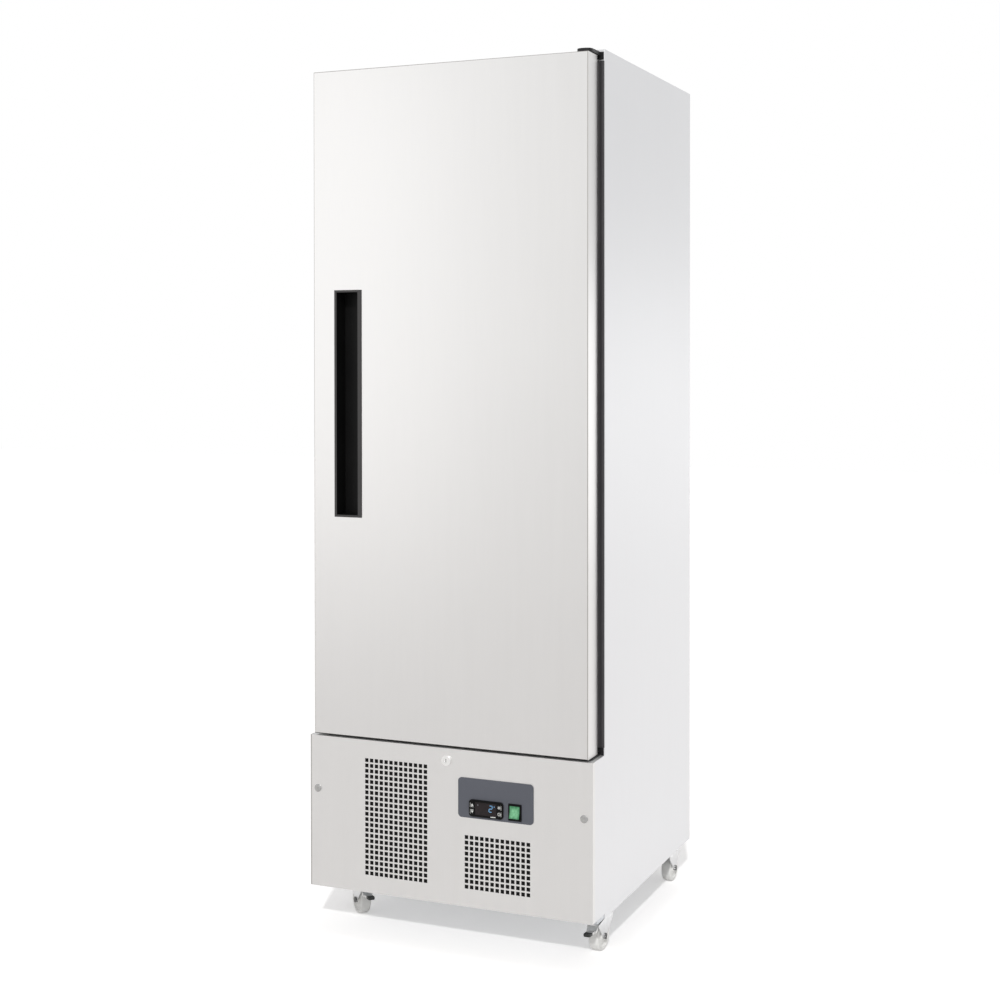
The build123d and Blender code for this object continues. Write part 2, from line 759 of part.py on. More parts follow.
# Lower panel: a folded sheet with two fields of square air holes, round holes for the lock
# and the screws, and cut-outs behind the control plate. Its sides fold back over the
# joggled side panels and its lower edge folds inwards.
with BuildPart() as front_panel:
    with BuildSketch(Plane.XY.offset(panel_bottom)) as panel_section:
        with Locations((0, front_y)):
            Rectangle(cabinet_width, panel_side_return, align=(Align.CENTER, Align.MIN))
        fillet(panel_section.vertices().sort_by(Axis.Y)[:2], radius=bend_radius)
        with Locations((0, panel_back)):
            Rectangle(2 * inside_x, panel_side_return, align=(Align.CENTER, Align.MIN), mode=Mode.SUBTRACT)
    extrude(amount=lower_panel_height)
    fold_x = half_width - screw_flange - running_gap
    lower_fold_z = (panel_bottom, panel_bottom + outer_sheet)
    block((-fold_x, fold_x), (panel_back, panel_back + panel_fold), lower_fold_z)
    with BuildSketch(facing_front(panel_back)):
        grilles = ((intake_x, intake_rows), (outlet_x, outlet_rows))
        for grille_x, rows in grilles:
            grille_z = panel_bottom + grille_base + (rows - 1) / 2 * grille_pitch_z
            with Locations((grille_x, grille_z)):
                with GridLocations(grille_pitch_x, grille_pitch_z, grille_columns, rows):
                    Rectangle(grille_hole, grille_hole)
        with Locations((0, lock_z)):
            Circle(lock_radius)
        with Locations(*[(side * panel_screw_x, panel_bottom + panel_screw_height) for side in (-1, 1)]):
            Circle(panel_screw_shank / 2)
        with Locations((controller_x, controls_z)):
            Rectangle(controller_body_width, controller_body_height)
        with Locations((switch_x, controls_z)):
            Rectangle(switch_body_width, switch_body_height)
    extrude(amount=outer_sheet, mode=Mode.SUBTRACT)
front_panel.part.label = "front_panel"
export_step(front_panel.part, "parts/front_panel.step")

# Panel screws: large dome heads with a shank through the panel and the side flange.
with BuildPart() as panel_screws:
    for side in (-1, 1):
        screw_at = (side * panel_screw_x, panel_bottom + panel_screw_height)
        with BuildSketch(facing_front(front_y)):
            with Locations(screw_at):
                Circle(panel_screw_head / 2)
        extrude(amount=panel_screw_dome)
        with BuildSketch(facing_front(front_y + panel_screw_length)):
            with Locations(screw_at):
                Circle(panel_screw_shank / 2)
        extrude(amount=panel_screw_length)
    rims = panel_screws.edges().filter_by(GeomType.CIRCLE).filter_by_position(
        Axis.Y, front_y - panel_screw_dome, front_y - panel_screw_dome
    )
    chamfer(rims, length=panel_screw_bevel)
panel_screws.part.label = "panel_screws"
export_step(panel_screws.part, "parts/panel_screws.step")

# Control plate: a flat plate with rounded corners, stuck on the lower panel.
with BuildPart() as control_plate:
    with BuildSketch(facing_front(front_y)):
        with Locations((plate_x, plate_z)):
            RectangleRounded(plate_width, plate_height, plate_corner)
        with Locations((controller_x, controls_z)):
            Rectangle(controller_body_width, controller_body_height, mode=Mode.SUBTRACT)
        with Locations((switch_x, controls_z)):
            Rectangle(switch_body_width, switch_body_height, mode=Mode.SUBTRACT)
    extrude(amount=plate_thickness)
control_plate.part.label = "control_plate"
export_step(control_plate.part, "parts/control_plate.step")

# Controller: a snap-in housing whose bezel has a window and pockets for four keys.
bezel_front = plate_front - controller_bezel
key_centres = [
    (controller_x + column * key_column, controls_z + row * key_pitch / 2)
    for column in (-1, 1)
    for row in (1, -1)
]
with BuildPart() as controller_housing:
    with BuildSketch(facing_front(plate_front + controller_body_depth)):
        with Locations((controller_x, controls_z)):
            Rectangle(controller_body_width, controller_body_height)
    extrude(amount=controller_body_depth)
    with BuildSketch(facing_front(plate_front)):
        with Locations((controller_x, controls_z)):
            RectangleRounded(controller_width, controller_height, controller_corner)
    extrude(amount=controller_bezel)
    rim = controller_housing.faces().sort_by(Axis.Y)[0].outer_wire().edges()
    chamfer(rim, length=controller_edge)
    with BuildSketch(facing_front(bezel_front + display_thickness)):
        with Locations((controller_x, controls_z)):
            Rectangle(display_width, display_height)
    extrude(amount=display_thickness, mode=Mode.SUBTRACT)
    pocket_depth = key_thickness - key_proud + key_travel + running_gap
    with BuildSketch(facing_front(bezel_front + pocket_depth)):
        with Locations(*key_centres):
            Rectangle(key_width + 2 * running_gap, key_height + 2 * running_gap)
    extrude(amount=pocket_depth, mode=Mode.SUBTRACT)
controller_housing.part.label = "controller_housing"
export_step(controller_housing.part, "parts/controller_housing.step")

# Display: the dark window of the controller.
with BuildPart() as controller_display:
    with BuildSketch(facing_front(bezel_front + display_thickness)):
        with Locations((controller_x, controls_z)):
            Rectangle(display_width, display_height)
    extrude(amount=display_thickness)
controller_display.part.label = "controller_display"
export_step(controller_display.part, "parts/controller_display.step")

# Keys: four push keys of the controller.
for key_name, key_centre in zip(("key_up", "key_down", "key_set", "key_standby"), key_centres):
    with BuildPart() as key:
        with BuildSketch(facing_front(bezel_front - key_proud + key_thickness)):
            with Locations(key_centre):
                Rectangle(key_width, key_height)
        extrude(amount=key_thickness)
    key.part.label = key_name
    export_step(key.part, f"parts/{key_name}.step")

# Power switch: a snap-in body with a bezel and the pivot holes of the rocker.
switch_front = plate_front - switch_bezel
rocker_y = switch_front + rocker_recess
rocker_radius = rocker_height / 2
well_width = rocker_width + 2 * running_gap
well_height = rocker_height + 2 * running_gap
well_floor = rocker_y + rocker_radius
with BuildPart() as switch_body:
    with BuildSketch(facing_front(plate_front + switch_body_depth)):
        with Locations((switch_x, controls_z)):
            Rectangle(switch_body_width, switch_body_height)
    extrude(amount=switch_body_depth)
    with BuildSketch(facing_front(plate_front)):
        with Locations((switch_x, controls_z)):
            Rectangle(switch_width, switch_height)
    extrude(amount=switch_bezel)
    rim = switch_body.faces().sort_by(Axis.Y)[0].outer_wire().edges()
    chamfer(rim, length=switch_edge)
    well_x = (switch_x - well_width / 2, switch_x + well_width / 2)
    well_z = (controls_z - well_height / 2, controls_z + well_height / 2)
    block(well_x, (switch_front, well_floor), well_z, mode=Mode.SUBTRACT)
    pin_half = rocker_width / 2 + rocker_pin_length
    with BuildSketch(Plane.YZ.offset(switch_x - pin_half - running_gap)):
        with Locations((rocker_y, controls_z)):
            Circle(rocker_pin_radius + running_clearance)
    extrude(amount=2 * (pin_half + running_gap), mode=Mode.SUBTRACT)
switch_body.part.label = "switch_body"
export_step(switch_body.part, "parts/switch_body.step")


def rocker_point(distance, angle):
    """A point of the rocker's profile in (Y, Z), at an angle from straight up to the front."""
    turned = math.radians(angle)
    return (rocker_y - distance * math.sin(turned), controls_z + distance * math.cos(turned))


# Rocker: a double wedge on a pin, pressed in at its upper half.
with BuildPart() as power_rocker:
    with BuildSketch(Plane.YZ.offset(switch_x - rocker_width / 2)):
        with BuildLine():
            lifted = rocker_lift + rocker_angle
            pressed = rocker_lift - rocker_angle
            lower_front = rocker_point(rocker_radius, 180 - lifted)
            lower_side = rocker_point(rocker_radius, 180)
            lower_back = rocker_point(rocker_radius, 180 + rocker_angle)
            upper_front = rocker_point(rocker_radius, pressed)
            upper_side = rocker_point(rocker_radius, 0)
            upper_back = rocker_point(rocker_radius, -rocker_lift)
            Line(upper_front, rocker_point(rocker_rise, 90 - rocker_angle))
            Line(rocker_point(rocker_rise, 90 - rocker_angle), lower_front)
            ThreePointArc(lower_front, lower_side, lower_back)
            Line(lower_back, rocker_point(rocker_rise, -90))
            Line(rocker_point(rocker_rise, -90), upper_back)
            ThreePointArc(upper_back, upper_side, upper_front)
        make_face()
    extrude(amount=rocker_width)
    with BuildSketch(Plane.YZ.offset(switch_x - pin_half)):
        with Locations((rocker_y, controls_z)):
            Circle(rocker_pin_radius)
    extrude(amount=2 * pin_half)
power_rocker.part.label = "power_rocker"
export_step(power_rocker.part, "parts/power_rocker.step")

# Lock barrel: a sleeve through the panel with a polished rim outside.
lock_front = front_y - lock_rim
with BuildPart() as lock_barrel:
    with BuildSketch(facing_front(cam_y[0] - running_gap)):
        with Locations((0, lock_z)):
            Circle(lock_radius)
    extrude(amount=cam_y[0] - running_gap - front_y)
    with BuildSketch(facing_front(front_y)):
        with Locations((0, lock_z)):
            Circle(lock_rim_radius)
    extrude(amount=lock_rim)
    with BuildSketch(facing_front(cam_y[0])):
        with Locations((0, lock_z)):
            Circle(plug_radius + running_clearance)
    extrude(amount=cam_y[0] - lock_front, mode=Mode.SUBTRACT)
lock_barrel.part.label = "lock_barrel"
export_step(lock_barrel.part, "parts/lock_barrel.step")

# Lock plug: the part that turns with the key, keyed into the cam behind the barrel.
with BuildPart() as lock_plug:
    with BuildSketch(facing_front(cam_y[0])):
        with Locations((0, lock_z)):
            Circle(plug_radius)
    extrude(amount=cam_y[0] - lock_front - plug_sink)
    with BuildSketch(facing_front(cam_y[1])):
        with Locations((0, lock_z)):
            Rectangle(plug_radius, plug_radius)
    extrude(amount=cam_thickness)
    with BuildSketch(facing_front(lock_front + plug_sink + key_slot_depth)):
        with Locations((0, lock_z)):
            Rectangle(key_slot_width, key_slot_length)
    extrude(amount=key_slot_depth, mode=Mode.SUBTRACT)
lock_plug.part.label = "lock_plug"
export_step(lock_plug.part, "parts/lock_plug.step")

# Lock cam: a flat bar on the plug that swings up into the slot of the door.
with BuildPart() as lock_cam:
    with BuildSketch(facing_front(cam_y[1])):
        with Locations((0, lock_z)):
            Circle(cam_width / 2)
            with Locations(((cam_length - cam_width / 2) / 2, 0)):
                Rectangle(cam_length - cam_width / 2, cam_width)
            with Locations((cam_length - cam_width / 2, 0)):
                Circle(cam_width / 2)
            Rectangle(plug_radius, plug_radius, mode=Mode.SUBTRACT)
    extrude(amount=cam_thickness)
lock_cam.part.label = "lock_cam"
export_step(lock_cam.part, "parts/lock_cam.step")

# Condenser: finned block whose end plates stand on the base pan.
condenser_front = panel_back + condenser_front_gap
condenser_y = (condenser_front, condenser_front + condenser_depth)
condenser_half = condenser_width / 2
condenser_z = (base_top + condenser_lift, base_top + condenser_lift + condenser_height)
fan_z = (condenser_z[0] + condenser_z[1]) / 2
with BuildPart() as condenser_coil:
    core_x = (intake_x - condenser_half + end_plate, intake_x + condenser_half - end_plate)
    core_fins = condenser_depth * coil_fin_share
    finned_block(core_x, condenser_y, condenser_z, condenser_fin_pitch, condenser_fin_gap, core_fins)
    for side in (-1, 1):
        outer = intake_x + side * condenser_half
        plate_x_span = sorted((outer, outer - side * end_plate))
        block(plate_x_span, condenser_y, (base_top, condenser_z[1]))
condenser_coil.part.label = "condenser_coil"
export_step(condenser_coil.part, "parts/condenser_coil.step")

# Condenser shroud: a shallow box behind the condenser with a round opening for the fan.
shroud_y = (condenser_y[1], condenser_y[1] + shroud_depth)
shroud_x = (intake_x - condenser_half, intake_x + condenser_half)
with BuildPart() as condenser_shroud:
    block(shroud_x, shroud_y, condenser_z)
    block(
        (shroud_x[0] + shroud_sheet, shroud_x[1] - shroud_sheet),
        (shroud_y[0], shroud_y[1] - shroud_sheet),
        (condenser_z[0] + shroud_sheet, condenser_z[1] - shroud_sheet),
        mode=Mode.SUBTRACT,
    )
    with BuildSketch(facing_front(shroud_y[1])):
        with Locations((intake_x, fan_z)):
            Circle(condenser_fan_radius + fan_tip_gap)
    extrude(amount=shroud_depth, mode=Mode.SUBTRACT)
condenser_shroud.part.label = "condenser_shroud"
export_step(condenser_shroud.part, "parts/condenser_shroud.step")

# Condenser fan: it turns in the shroud's opening.
with BuildPart() as condenser_fan:
    with Locations((intake_x, shroud_y[1] - condenser_fan_depth / 2, fan_z)):
        add(fan_rotor(condenser_fan_radius, condenser_fan_hub, condenser_fan_depth, shaft))
condenser_fan.part.label = "condenser_fan"
export_step(condenser_fan.part, "parts/condenser_fan.step")

# Condenser fan motor: a can on a strap that is folded forwards to the shroud.
with BuildPart() as condenser_fan_motor:
    motor_front = shroud_y[1] + motor_gap
    with Locations((intake_x, motor_front, fan_z)):
        add(fan_motor(condenser_motor_radius, condenser_motor_length, shaft_engagement + running_gap))
    strap_y = (
        motor_front + condenser_motor_length,
        motor_front + condenser_motor_length + motor_strap_thickness,
    )
    strap_z = (fan_z - motor_strap_width / 2, fan_z + motor_strap_width / 2)
    block(shroud_x, strap_y, strap_z)
    for side in (-1, 1):
        outer = intake_x + side * condenser_half
        leg_x = sorted((outer, outer - side * motor_strap_thickness))
        block(leg_x, (shroud_y[1], strap_y[1]), strap_z)
condenser_fan_motor.part.label = "condenser_fan_motor"
export_step(condenser_fan_motor.part, "parts/condenser_fan_motor.step")

# Compressor: a welded shell with a seam and a foot plate, and a terminal cover on its side.
foot_bottom = base_top + grommet_height
foot_top = foot_bottom + compressor_foot_sheet
shell_top = foot_top + compressor_height
foot_corners = [
    (
        compressor_x + side * (compressor_foot_width / 2 - grommet_inset),
        compressor_y + end * (compressor_foot_depth / 2 - grommet_inset),
    )
    for side in (-1, 1)
    for end in (-1, 1)
]
with BuildPart() as compressor:
    with BuildSketch(Plane.XY.offset(foot_top)):
        with Locations((compressor_x, compressor_y)):
            Circle(compressor_radius)
    extrude(amount=compressor_height)
    crown = compressor.edges().filter_by(GeomType.CIRCLE).sort_by(Axis.Z)[-1]
    chamfer(crown, length=compressor_dome)
    with BuildSketch(Plane.XY.offset(foot_bottom)):
        with Locations((compressor_x, compressor_y)):
            Rectangle(compressor_foot_width, compressor_foot_depth)
    extrude(amount=compressor_foot_sheet)
    terminal_x = (compressor_x - terminal_width / 2, compressor_x + terminal_width / 2)
    terminal_y = (compressor_y - compressor_radius - terminal_depth, compressor_y)
    terminal_z = (shell_top - compressor_height / 2 - terminal_width, shell_top - compressor_height / 2)
    block(terminal_x, terminal_y, terminal_z)
compressor.part.label = "compressor"
export_step(compressor.part, "parts/compressor.step")

# Grommets: four rubber feet between the base pan and the compressor's foot plate.
with BuildPart() as compressor_grommets:
    with BuildSketch(Plane.XY.offset(base_top)):
        with Locations(*foot_corners):
            Circle(grommet_radius)
    extrude(amount=grommet_height)
compressor_grommets.part.label = "compressor_grommets"
export_step(compressor_grommets.part, "parts/compressor_grommets.step")


def tube(points):
    """A round tube along straight runs that are joined by brazed elbows."""
    with BuildPart() as run:
        with BuildLine() as path:
            Polyline(*points)
        with BuildSketch(Plane(origin=path.line @ 0, z_dir=path.line % 0)):
            Circle(pipe_radius)
        sweep(transition=Transition.RIGHT)
    return run.part


# Refrigerant pipes: discharge line to the condenser, liquid line with its drier up to the
# evaporator, and suction line back down to the compressor.
condenser_side = intake_x + condenser_half
line_y = condenser_y[0] + condenser_depth / 2
shell_inside = compressor_radius - 2 * pipe_radius
discharge_z = foot_top + compressor_height * discharge_share
liquid_z = base_top + tray_height + 2 * pipe_bend
suction_z = liquid_z + 2 * pipe_bend
liquid_x = condenser_side + 2 * pipe_bend
with BuildPart() as refrigerant_pipes:
    discharge_x = compressor_x - compressor_radius / 2
    add(
        tube(
            [
                (discharge_x, compressor_y - compressor_radius / 2, discharge_z),
                (discharge_x, line_y, discharge_z),
                (condenser_side, line_y, discharge_z),
            ]
        )
    )
    add(
        tube(
            [
                (condenser_side, line_y, liquid_z),
                (liquid_x, line_y, liquid_z),
                (liquid_x, riser_y, liquid_z),
                (riser_x, riser_y, liquid_z),
                (riser_x, riser_y, unit_z),
                (riser_x, coil_y[1], unit_z),
            ]
        )
    )
    add(
        tube(
            [
                (suction_x, coil_y[1], unit_z),
                (suction_x, riser_y, unit_z),
                (suction_x, riser_y, suction_z),
                (suction_x, compressor_y, suction_z),
                (compressor_x - shell_inside, compressor_y, suction_z),
            ]
        )
    )
    drier_back = line_y + drier_offset + drier_length
    with BuildSketch(facing_front(drier_back)):
        with Locations((liquid_x, liquid_z)):
            Circle(drier_radius)
    extrude(amount=drier_length)
    add(compressor.part, mode=Mode.SUBTRACT)
refrigerant_pipes.part.label = "refrigerant_pipes"
export_step(refrigerant_pipes.part, "parts/refrigerant_pipes.step")

# Evaporation tray: an open tray at the back of the base pan for the defrost water.
with BuildPart() as evaporation_tray:
    tray_middle = riser_x + tray_shift
    tray_x = (tray_middle - tray_width / 2, tray_middle + tray_width / 2)
    tray_y = (back_y - outer_sheet - base_recess - tray_depth, back_y - outer_sheet - base_recess)
    block(tray_x, tray_y, (base_top, base_top + tray_height))
    block(
        (tray_x[0] + tray_wall, tray_x[1] - tray_wall),
        (tray_y[0] + tray_wall, tray_y[1] - tray_wall),
        (base_top + tray_wall, base_top + tray_height),
        mode=Mode.SUBTRACT,
    )
evaporation_tray.part.label = "evaporation_tray"
export_step(evaporation_tray.part, "parts/evaporation_tray.step")

# Rear vent panel: a sheet with rows of louvre slots and the hole of the cable gland.
gland_z = base_bottom + gland_height
vent_slot_width = gland_x - vent_gland_gap - vent_slot_pitch / 2
with BuildPart() as rear_vent_panel:
    block((-inside_x, inside_x), (back_y - outer_sheet, back_y), (base_bottom, deck_top))
    vent_z = (base_bottom + deck_top) / 2
    with BuildSketch(facing_front(back_y)):
        with Locations((0, vent_z)):
            with GridLocations(vent_slot_width + vent_slot_pitch, vent_slot_pitch, 2, vent_slot_count):
                Rectangle(vent_slot_width, vent_slot_height)
        with Locations((-gland_x, gland_z)):
            Circle(gland_neck)
    extrude(amount=outer_sheet, mode=Mode.SUBTRACT)
rear_vent_panel.part.label = "rear_vent_panel"
export_step(rear_vent_panel.part, "parts/rear_vent_panel.step")

# Cable gland: a moulded bush through the rear vent panel for the supply cord.
with BuildPart() as cable_gland:
    with BuildSketch(facing_front(back_y - outer_sheet)):
        with Locations((-gland_x, gland_z)):
            RegularPolygon(gland_radius, hexagon)
    extrude(amount=gland_nut)
    with BuildSketch(facing_front(back_y)):
        with Locations((-gland_x, gland_z)):
            Circle(gland_neck)
    extrude(amount=outer_sheet)
    with BuildSketch(facing_front(back_y - outer_sheet)):
        with Locations((-gland_x, gland_z)):
            Circle(gland_bore)
    extrude(amount=gland_nut, mode=Mode.SUBTRACT)
    with BuildSketch(facing_front(back_y)):
        with Locations((-gland_x, gland_z)):
            Circle(gland_bore)
    extrude(amount=outer_sheet, mode=Mode.SUBTRACT)
cable_gland.part.label = "cable_gland"
export_step(cable_gland.part, "parts/cable_gland.step")

# Upper hinge bracket: an arm over the door with a rounded nose, a wider foot on the
# cabinet's face and a pin that hangs into the door's upper bush.
arm_bottom = door_top + bush_flange + running_gap
foot_y = (face_y - hinge_plate, face_y)
bracket_x = (pin_x - bracket_half_width, pin_x + bracket_half_width)
foot_x = (bracket_x[0], half_width - hinge_foot_edge)
nose_y = pin_y - hinge_nose
with BuildPart() as hinge_bracket_top:
    with BuildSketch(Plane.YZ.offset(bracket_x[0])):
        with BuildLine():
            Polyline(
                (face_y, arm_bottom),
                (nose_y, arm_bottom),
                (nose_y, arm_bottom + hinge_arm_tip),
                (foot_y[0], arm_bottom + hinge_arm),
                (face_y, arm_bottom + hinge_arm),
                close=True,
            )
        make_face()
    extrude(amount=2 * bracket_half_width)
    nose_corners = hinge_bracket_top.edges().filter_by(Axis.Z).filter_by_position(Axis.Y, nose_y, nose_y)
    fillet(nose_corners, radius=hinge_nose * nose_round_share)
    block(foot_x, foot_y, (arm_bottom + hinge_arm - hinge_foot_height, arm_bottom + hinge_arm))
    with BuildSketch(Plane.XY.offset(arm_bottom - pin_reach)):
        with Locations((pin_x, pin_y)):
            Circle(pin_radius)
    extrude(amount=pin_reach)
hinge_bracket_top.part.label = "hinge_bracket_top"
export_step(hinge_bracket_top.part, "parts/hinge_bracket_top.step")

# Lower hinge bracket: a plate on the deck's ledge with a foot on the cabinet's face and a
# pin that carries the door.
with BuildPart() as hinge_bracket_bottom:
    block(bracket_x, (nose_y, face_y), (deck_top, deck_top + hinge_plate))
    nose_corners = hinge_bracket_bottom.edges().filter_by(Axis.Z).filter_by_position(Axis.Y, nose_y, nose_y)
    fillet(nose_corners, radius=hinge_nose * nose_round_share)
    block(foot_x, foot_y, (deck_top, deck_top + hinge_foot_height))
    with BuildSketch(Plane.XY.offset(deck_top + hinge_plate)):
        with Locations((pin_x, pin_y)):
            Circle(pin_radius)
    extrude(amount=pin_reach)
hinge_bracket_bottom.part.label = "hinge_bracket_bottom"
export_step(hinge_bracket_bottom.part, "parts/hinge_bracket_bottom.step")

# Recessed handle: a moulded pocket in the door. Its flange lies on the door's skin, and
# the pocket runs on behind the wider lip, which is the one that is gripped.
handle_x = (-door_half + handle_edge, -door_half + handle_edge + handle_width)
door_middle = (door_bottom + door_top) / 2
handle_z = (door_middle - handle_height / 2, door_middle + handle_height / 2)
opening_x = (handle_x[0] + handle_lip, handle_x[1] - handle_grip_lip)
opening_z = (handle_z[0] + handle_end_lip, handle_z[1] - handle_end_lip)
shell_x = (opening_x[0] - handle_wall, handle_x[1] - handle_cut_margin)
shell_z = (opening_z[0] - handle_wall, opening_z[1] + handle_wall)
pocket_bottom = front_y + handle_depth
with BuildPart() as handle_recess:
    block(shell_x, (front_y, pocket_bottom), shell_z)
    block(
        (shell_x[0] + handle_wall, shell_x[1] - handle_wall),
        (front_y + handle_wall, pocket_bottom - handle_wall),
        (shell_z[0] + handle_wall, shell_z[1] - handle_wall),
        mode=Mode.SUBTRACT,
    )
    block(handle_x, (front_y - handle_flange, front_y), handle_z)
    flange_front = handle_recess.faces().sort_by(Axis.Y)[0].outer_wire().edges()
    chamfer(flange_front, length=handle_edge_bevel)
    block(opening_x, (front_y - handle_flange, front_y + handle_wall), opening_z, mode=Mode.SUBTRACT)
handle_recess.part.label = "handle_recess"
export_step(handle_recess.part, "parts/handle_recess.step")

# Hinge bushes: flanged sleeves in the door's upper and lower edges that run on the pins.
with BuildPart() as hinge_bushes:
    for outer_z, inward in ((door_bottom, 1), (door_top, -1)):
        sleeve_z = min(outer_z, outer_z + inward * bush_length)
        with BuildSketch(Plane.XY.offset(sleeve_z)):
            with Locations((pin_x, pin_y)):
                Circle(bush_radius)
        extrude(amount=bush_length)
        collar_z = min(outer_z, outer_z - inward * bush_flange)
        with BuildSketch(Plane.XY.offset(collar_z)):
            with Locations((pin_x, pin_y)):
                Circle(bush_flange_radius)
        extrude(amount=bush_flange)
        bore_z = min(outer_z - inward * bush_flange, outer_z + inward * pin_reach)
        with BuildSketch(Plane.XY.offset(bore_z)):
            with Locations((pin_x, pin_y)):
                Circle(pin_radius + running_clearance)
        extrude(amount=bush_flange + pin_reach, mode=Mode.SUBTRACT)
hinge_bushes.part.label = "hinge_bushes"
export_step(hinge_bushes.part, "parts/hinge_bushes.step")


def strike_slot():
    """Cut the slot in the door's lower edge that the lock's cam swings into."""
    swing = math.sqrt(cam_reach**2 - (door_bottom - lock_z) ** 2) + cam_slot_margin
    block(
        (-cam_width / 2 - cam_slot_margin, swing),
        (cam_y[0] - cam_slot_margin, cam_y[1] + cam_slot_margin),
        (door_bottom, lock_z + cam_reach + cam_slot_margin),
        mode=Mode.SUBTRACT,
    )


# Door skin: a folded pan with softly rounded front edges, open at the back.
with BuildPart() as door_skin:
    block((-door_half, door_half), (front_y, door_back), (door_bottom, door_top))
    front_edges = door_skin.faces().sort_by(Axis.Y)[0].edges()
    fillet(front_edges, radius=bend_radius)
    block(
        (-door_half + outer_sheet, door_half - outer_sheet),
        (front_y + outer_sheet, door_back),
        (door_bottom + outer_sheet, door_top - outer_sheet),
        mode=Mode.SUBTRACT,
    )
    block(shell_x, (front_y, front_y + outer_sheet), shell_z, mode=Mode.SUBTRACT)
    with BuildSketch(Plane.XY.offset(door_bottom)):
        with Locations((pin_x, pin_y)):
            Circle(bush_radius)
    extrude(amount=door_top - door_bottom, mode=Mode.SUBTRACT)
    strike_slot()
door_skin.part.label = "door_skin"
export_step(door_skin.part, "parts/door_skin.step")

# Rings of the door's gasket and its groove, round the opening of the cabinet.
gasket_x = liner_x + gasket_overlap
gasket_z = (liner_floor - gasket_overlap, liner_ceiling + gasket_overlap)


def ring(inner, width, y, mode=Mode.ADD):
    """A rectangular ring round the opening, its inner edge set out from the gasket's."""
    outer = inner + width
    with BuildPart(mode=Mode.PRIVATE) as band:
        block((-gasket_x - outer, gasket_x + outer), y, (gasket_z[0] - outer, gasket_z[1] + outer))
        block(
            (-gasket_x - inner, gasket_x + inner),
            y,
            (gasket_z[0] - inner, gasket_z[1] + inner),
            mode=Mode.SUBTRACT,
        )
    add(band.part, mode=mode)


# Door liner: a formed plastic sheet with a raised middle and a groove for the gasket.
liner_back_y = (door_back - door_liner_sheet, door_back)
groove_inner = (gasket_width - dart_width) / 2
groove_channel_y = (door_back - dart_depth - door_liner_sheet, door_back)
groove_channel_inner = groove_inner - door_liner_sheet
groove_channel_width = dart_width + 2 * door_liner_sheet
plateau_x = gasket_x - door_plateau_inset
plateau_z = (gasket_z[0] + door_plateau_inset, gasket_z[1] - door_plateau_inset)
plateau_y = door_back + door_plateau_rise
with BuildPart() as door_liner:
    block(
        (-door_half + outer_sheet, door_half - outer_sheet),
        liner_back_y,
        (door_bottom + outer_sheet, door_top - outer_sheet),
    )
    block((-plateau_x, plateau_x), (door_back, plateau_y), plateau_z)
    plateau_rim = door_liner.faces().sort_by(Axis.Y)[-1].outer_wire().edges()
    chamfer(plateau_rim, length=door_plateau_edge)
    block(
        (-plateau_x + 2 * door_liner_sheet, plateau_x - 2 * door_liner_sheet),
        (liner_back_y[0], plateau_y - door_liner_sheet),
        (plateau_z[0] + 2 * door_liner_sheet, plateau_z[1] - 2 * door_liner_sheet),
        mode=Mode.SUBTRACT,
    )
    ring(groove_channel_inner, groove_channel_width, groove_channel_y)
    ring(groove_inner, dart_width, (door_back - dart_depth, door_back), mode=Mode.SUBTRACT)
door_liner.part.label = "door_liner"
export_step(door_liner.part, "parts/door_liner.step")

# Door insulation: the foam that fills the door round the handle's pocket and the bushes.
with BuildPart() as door_insulation:
    block(
        (-door_half + outer_sheet, door_half - outer_sheet),
        (front_y + outer_sheet, liner_back_y[0]),
        (door_bottom + outer_sheet, door_top - outer_sheet),
    )
    block(
        (-plateau_x + 2 * door_liner_sheet, plateau_x - 2 * door_liner_sheet),
        (liner_back_y[0], plateau_y - door_liner_sheet),
        (plateau_z[0] + 2 * door_liner_sheet, plateau_z[1] - 2 * door_liner_sheet),
    )
    ring(groove_channel_inner, groove_channel_width, groove_channel_y, mode=Mode.SUBTRACT)
    block(shell_x, (front_y, pocket_bottom), shell_z, mode=Mode.SUBTRACT)
    for sleeve_z in (door_bottom, door_top - bush_length):
        with BuildSketch(Plane.XY.offset(sleeve_z)):
            with Locations((pin_x, pin_y)):
                Circle(bush_radius)
        extrude(amount=bush_length, mode=Mode.SUBTRACT)
    strike_slot()
door_insulation.part.label = "door_insulation"
export_step(door_insulation.part, "parts/door_insulation.step")

# Door gasket: an extruded ring with a foot, a narrow bellows, a soft bulb that meets the
# cabinet's face, and a dart pressed into the liner's groove.
bulb_front = door_back + gasket_foot + gasket_bellows
with BuildPart() as door_gasket:
    ring(0, gasket_width, (bulb_front, face_y - running_gap))
    bulb_edges = door_gasket.faces().filter_by(Axis.Y).edges()
    chamfer(bulb_edges, length=gasket_edge)
    ring(gasket_wall, gasket_width - 2 * gasket_wall, (door_back + gasket_foot, bulb_front))
    ring(0, gasket_width, (door_back, door_back + gasket_foot))
    ring(groove_inner, dart_width, (door_back - dart_depth, door_back))
door_gasket.part.label = "door_gasket"
export_step(door_gasket.part, "parts/door_gasket.step")

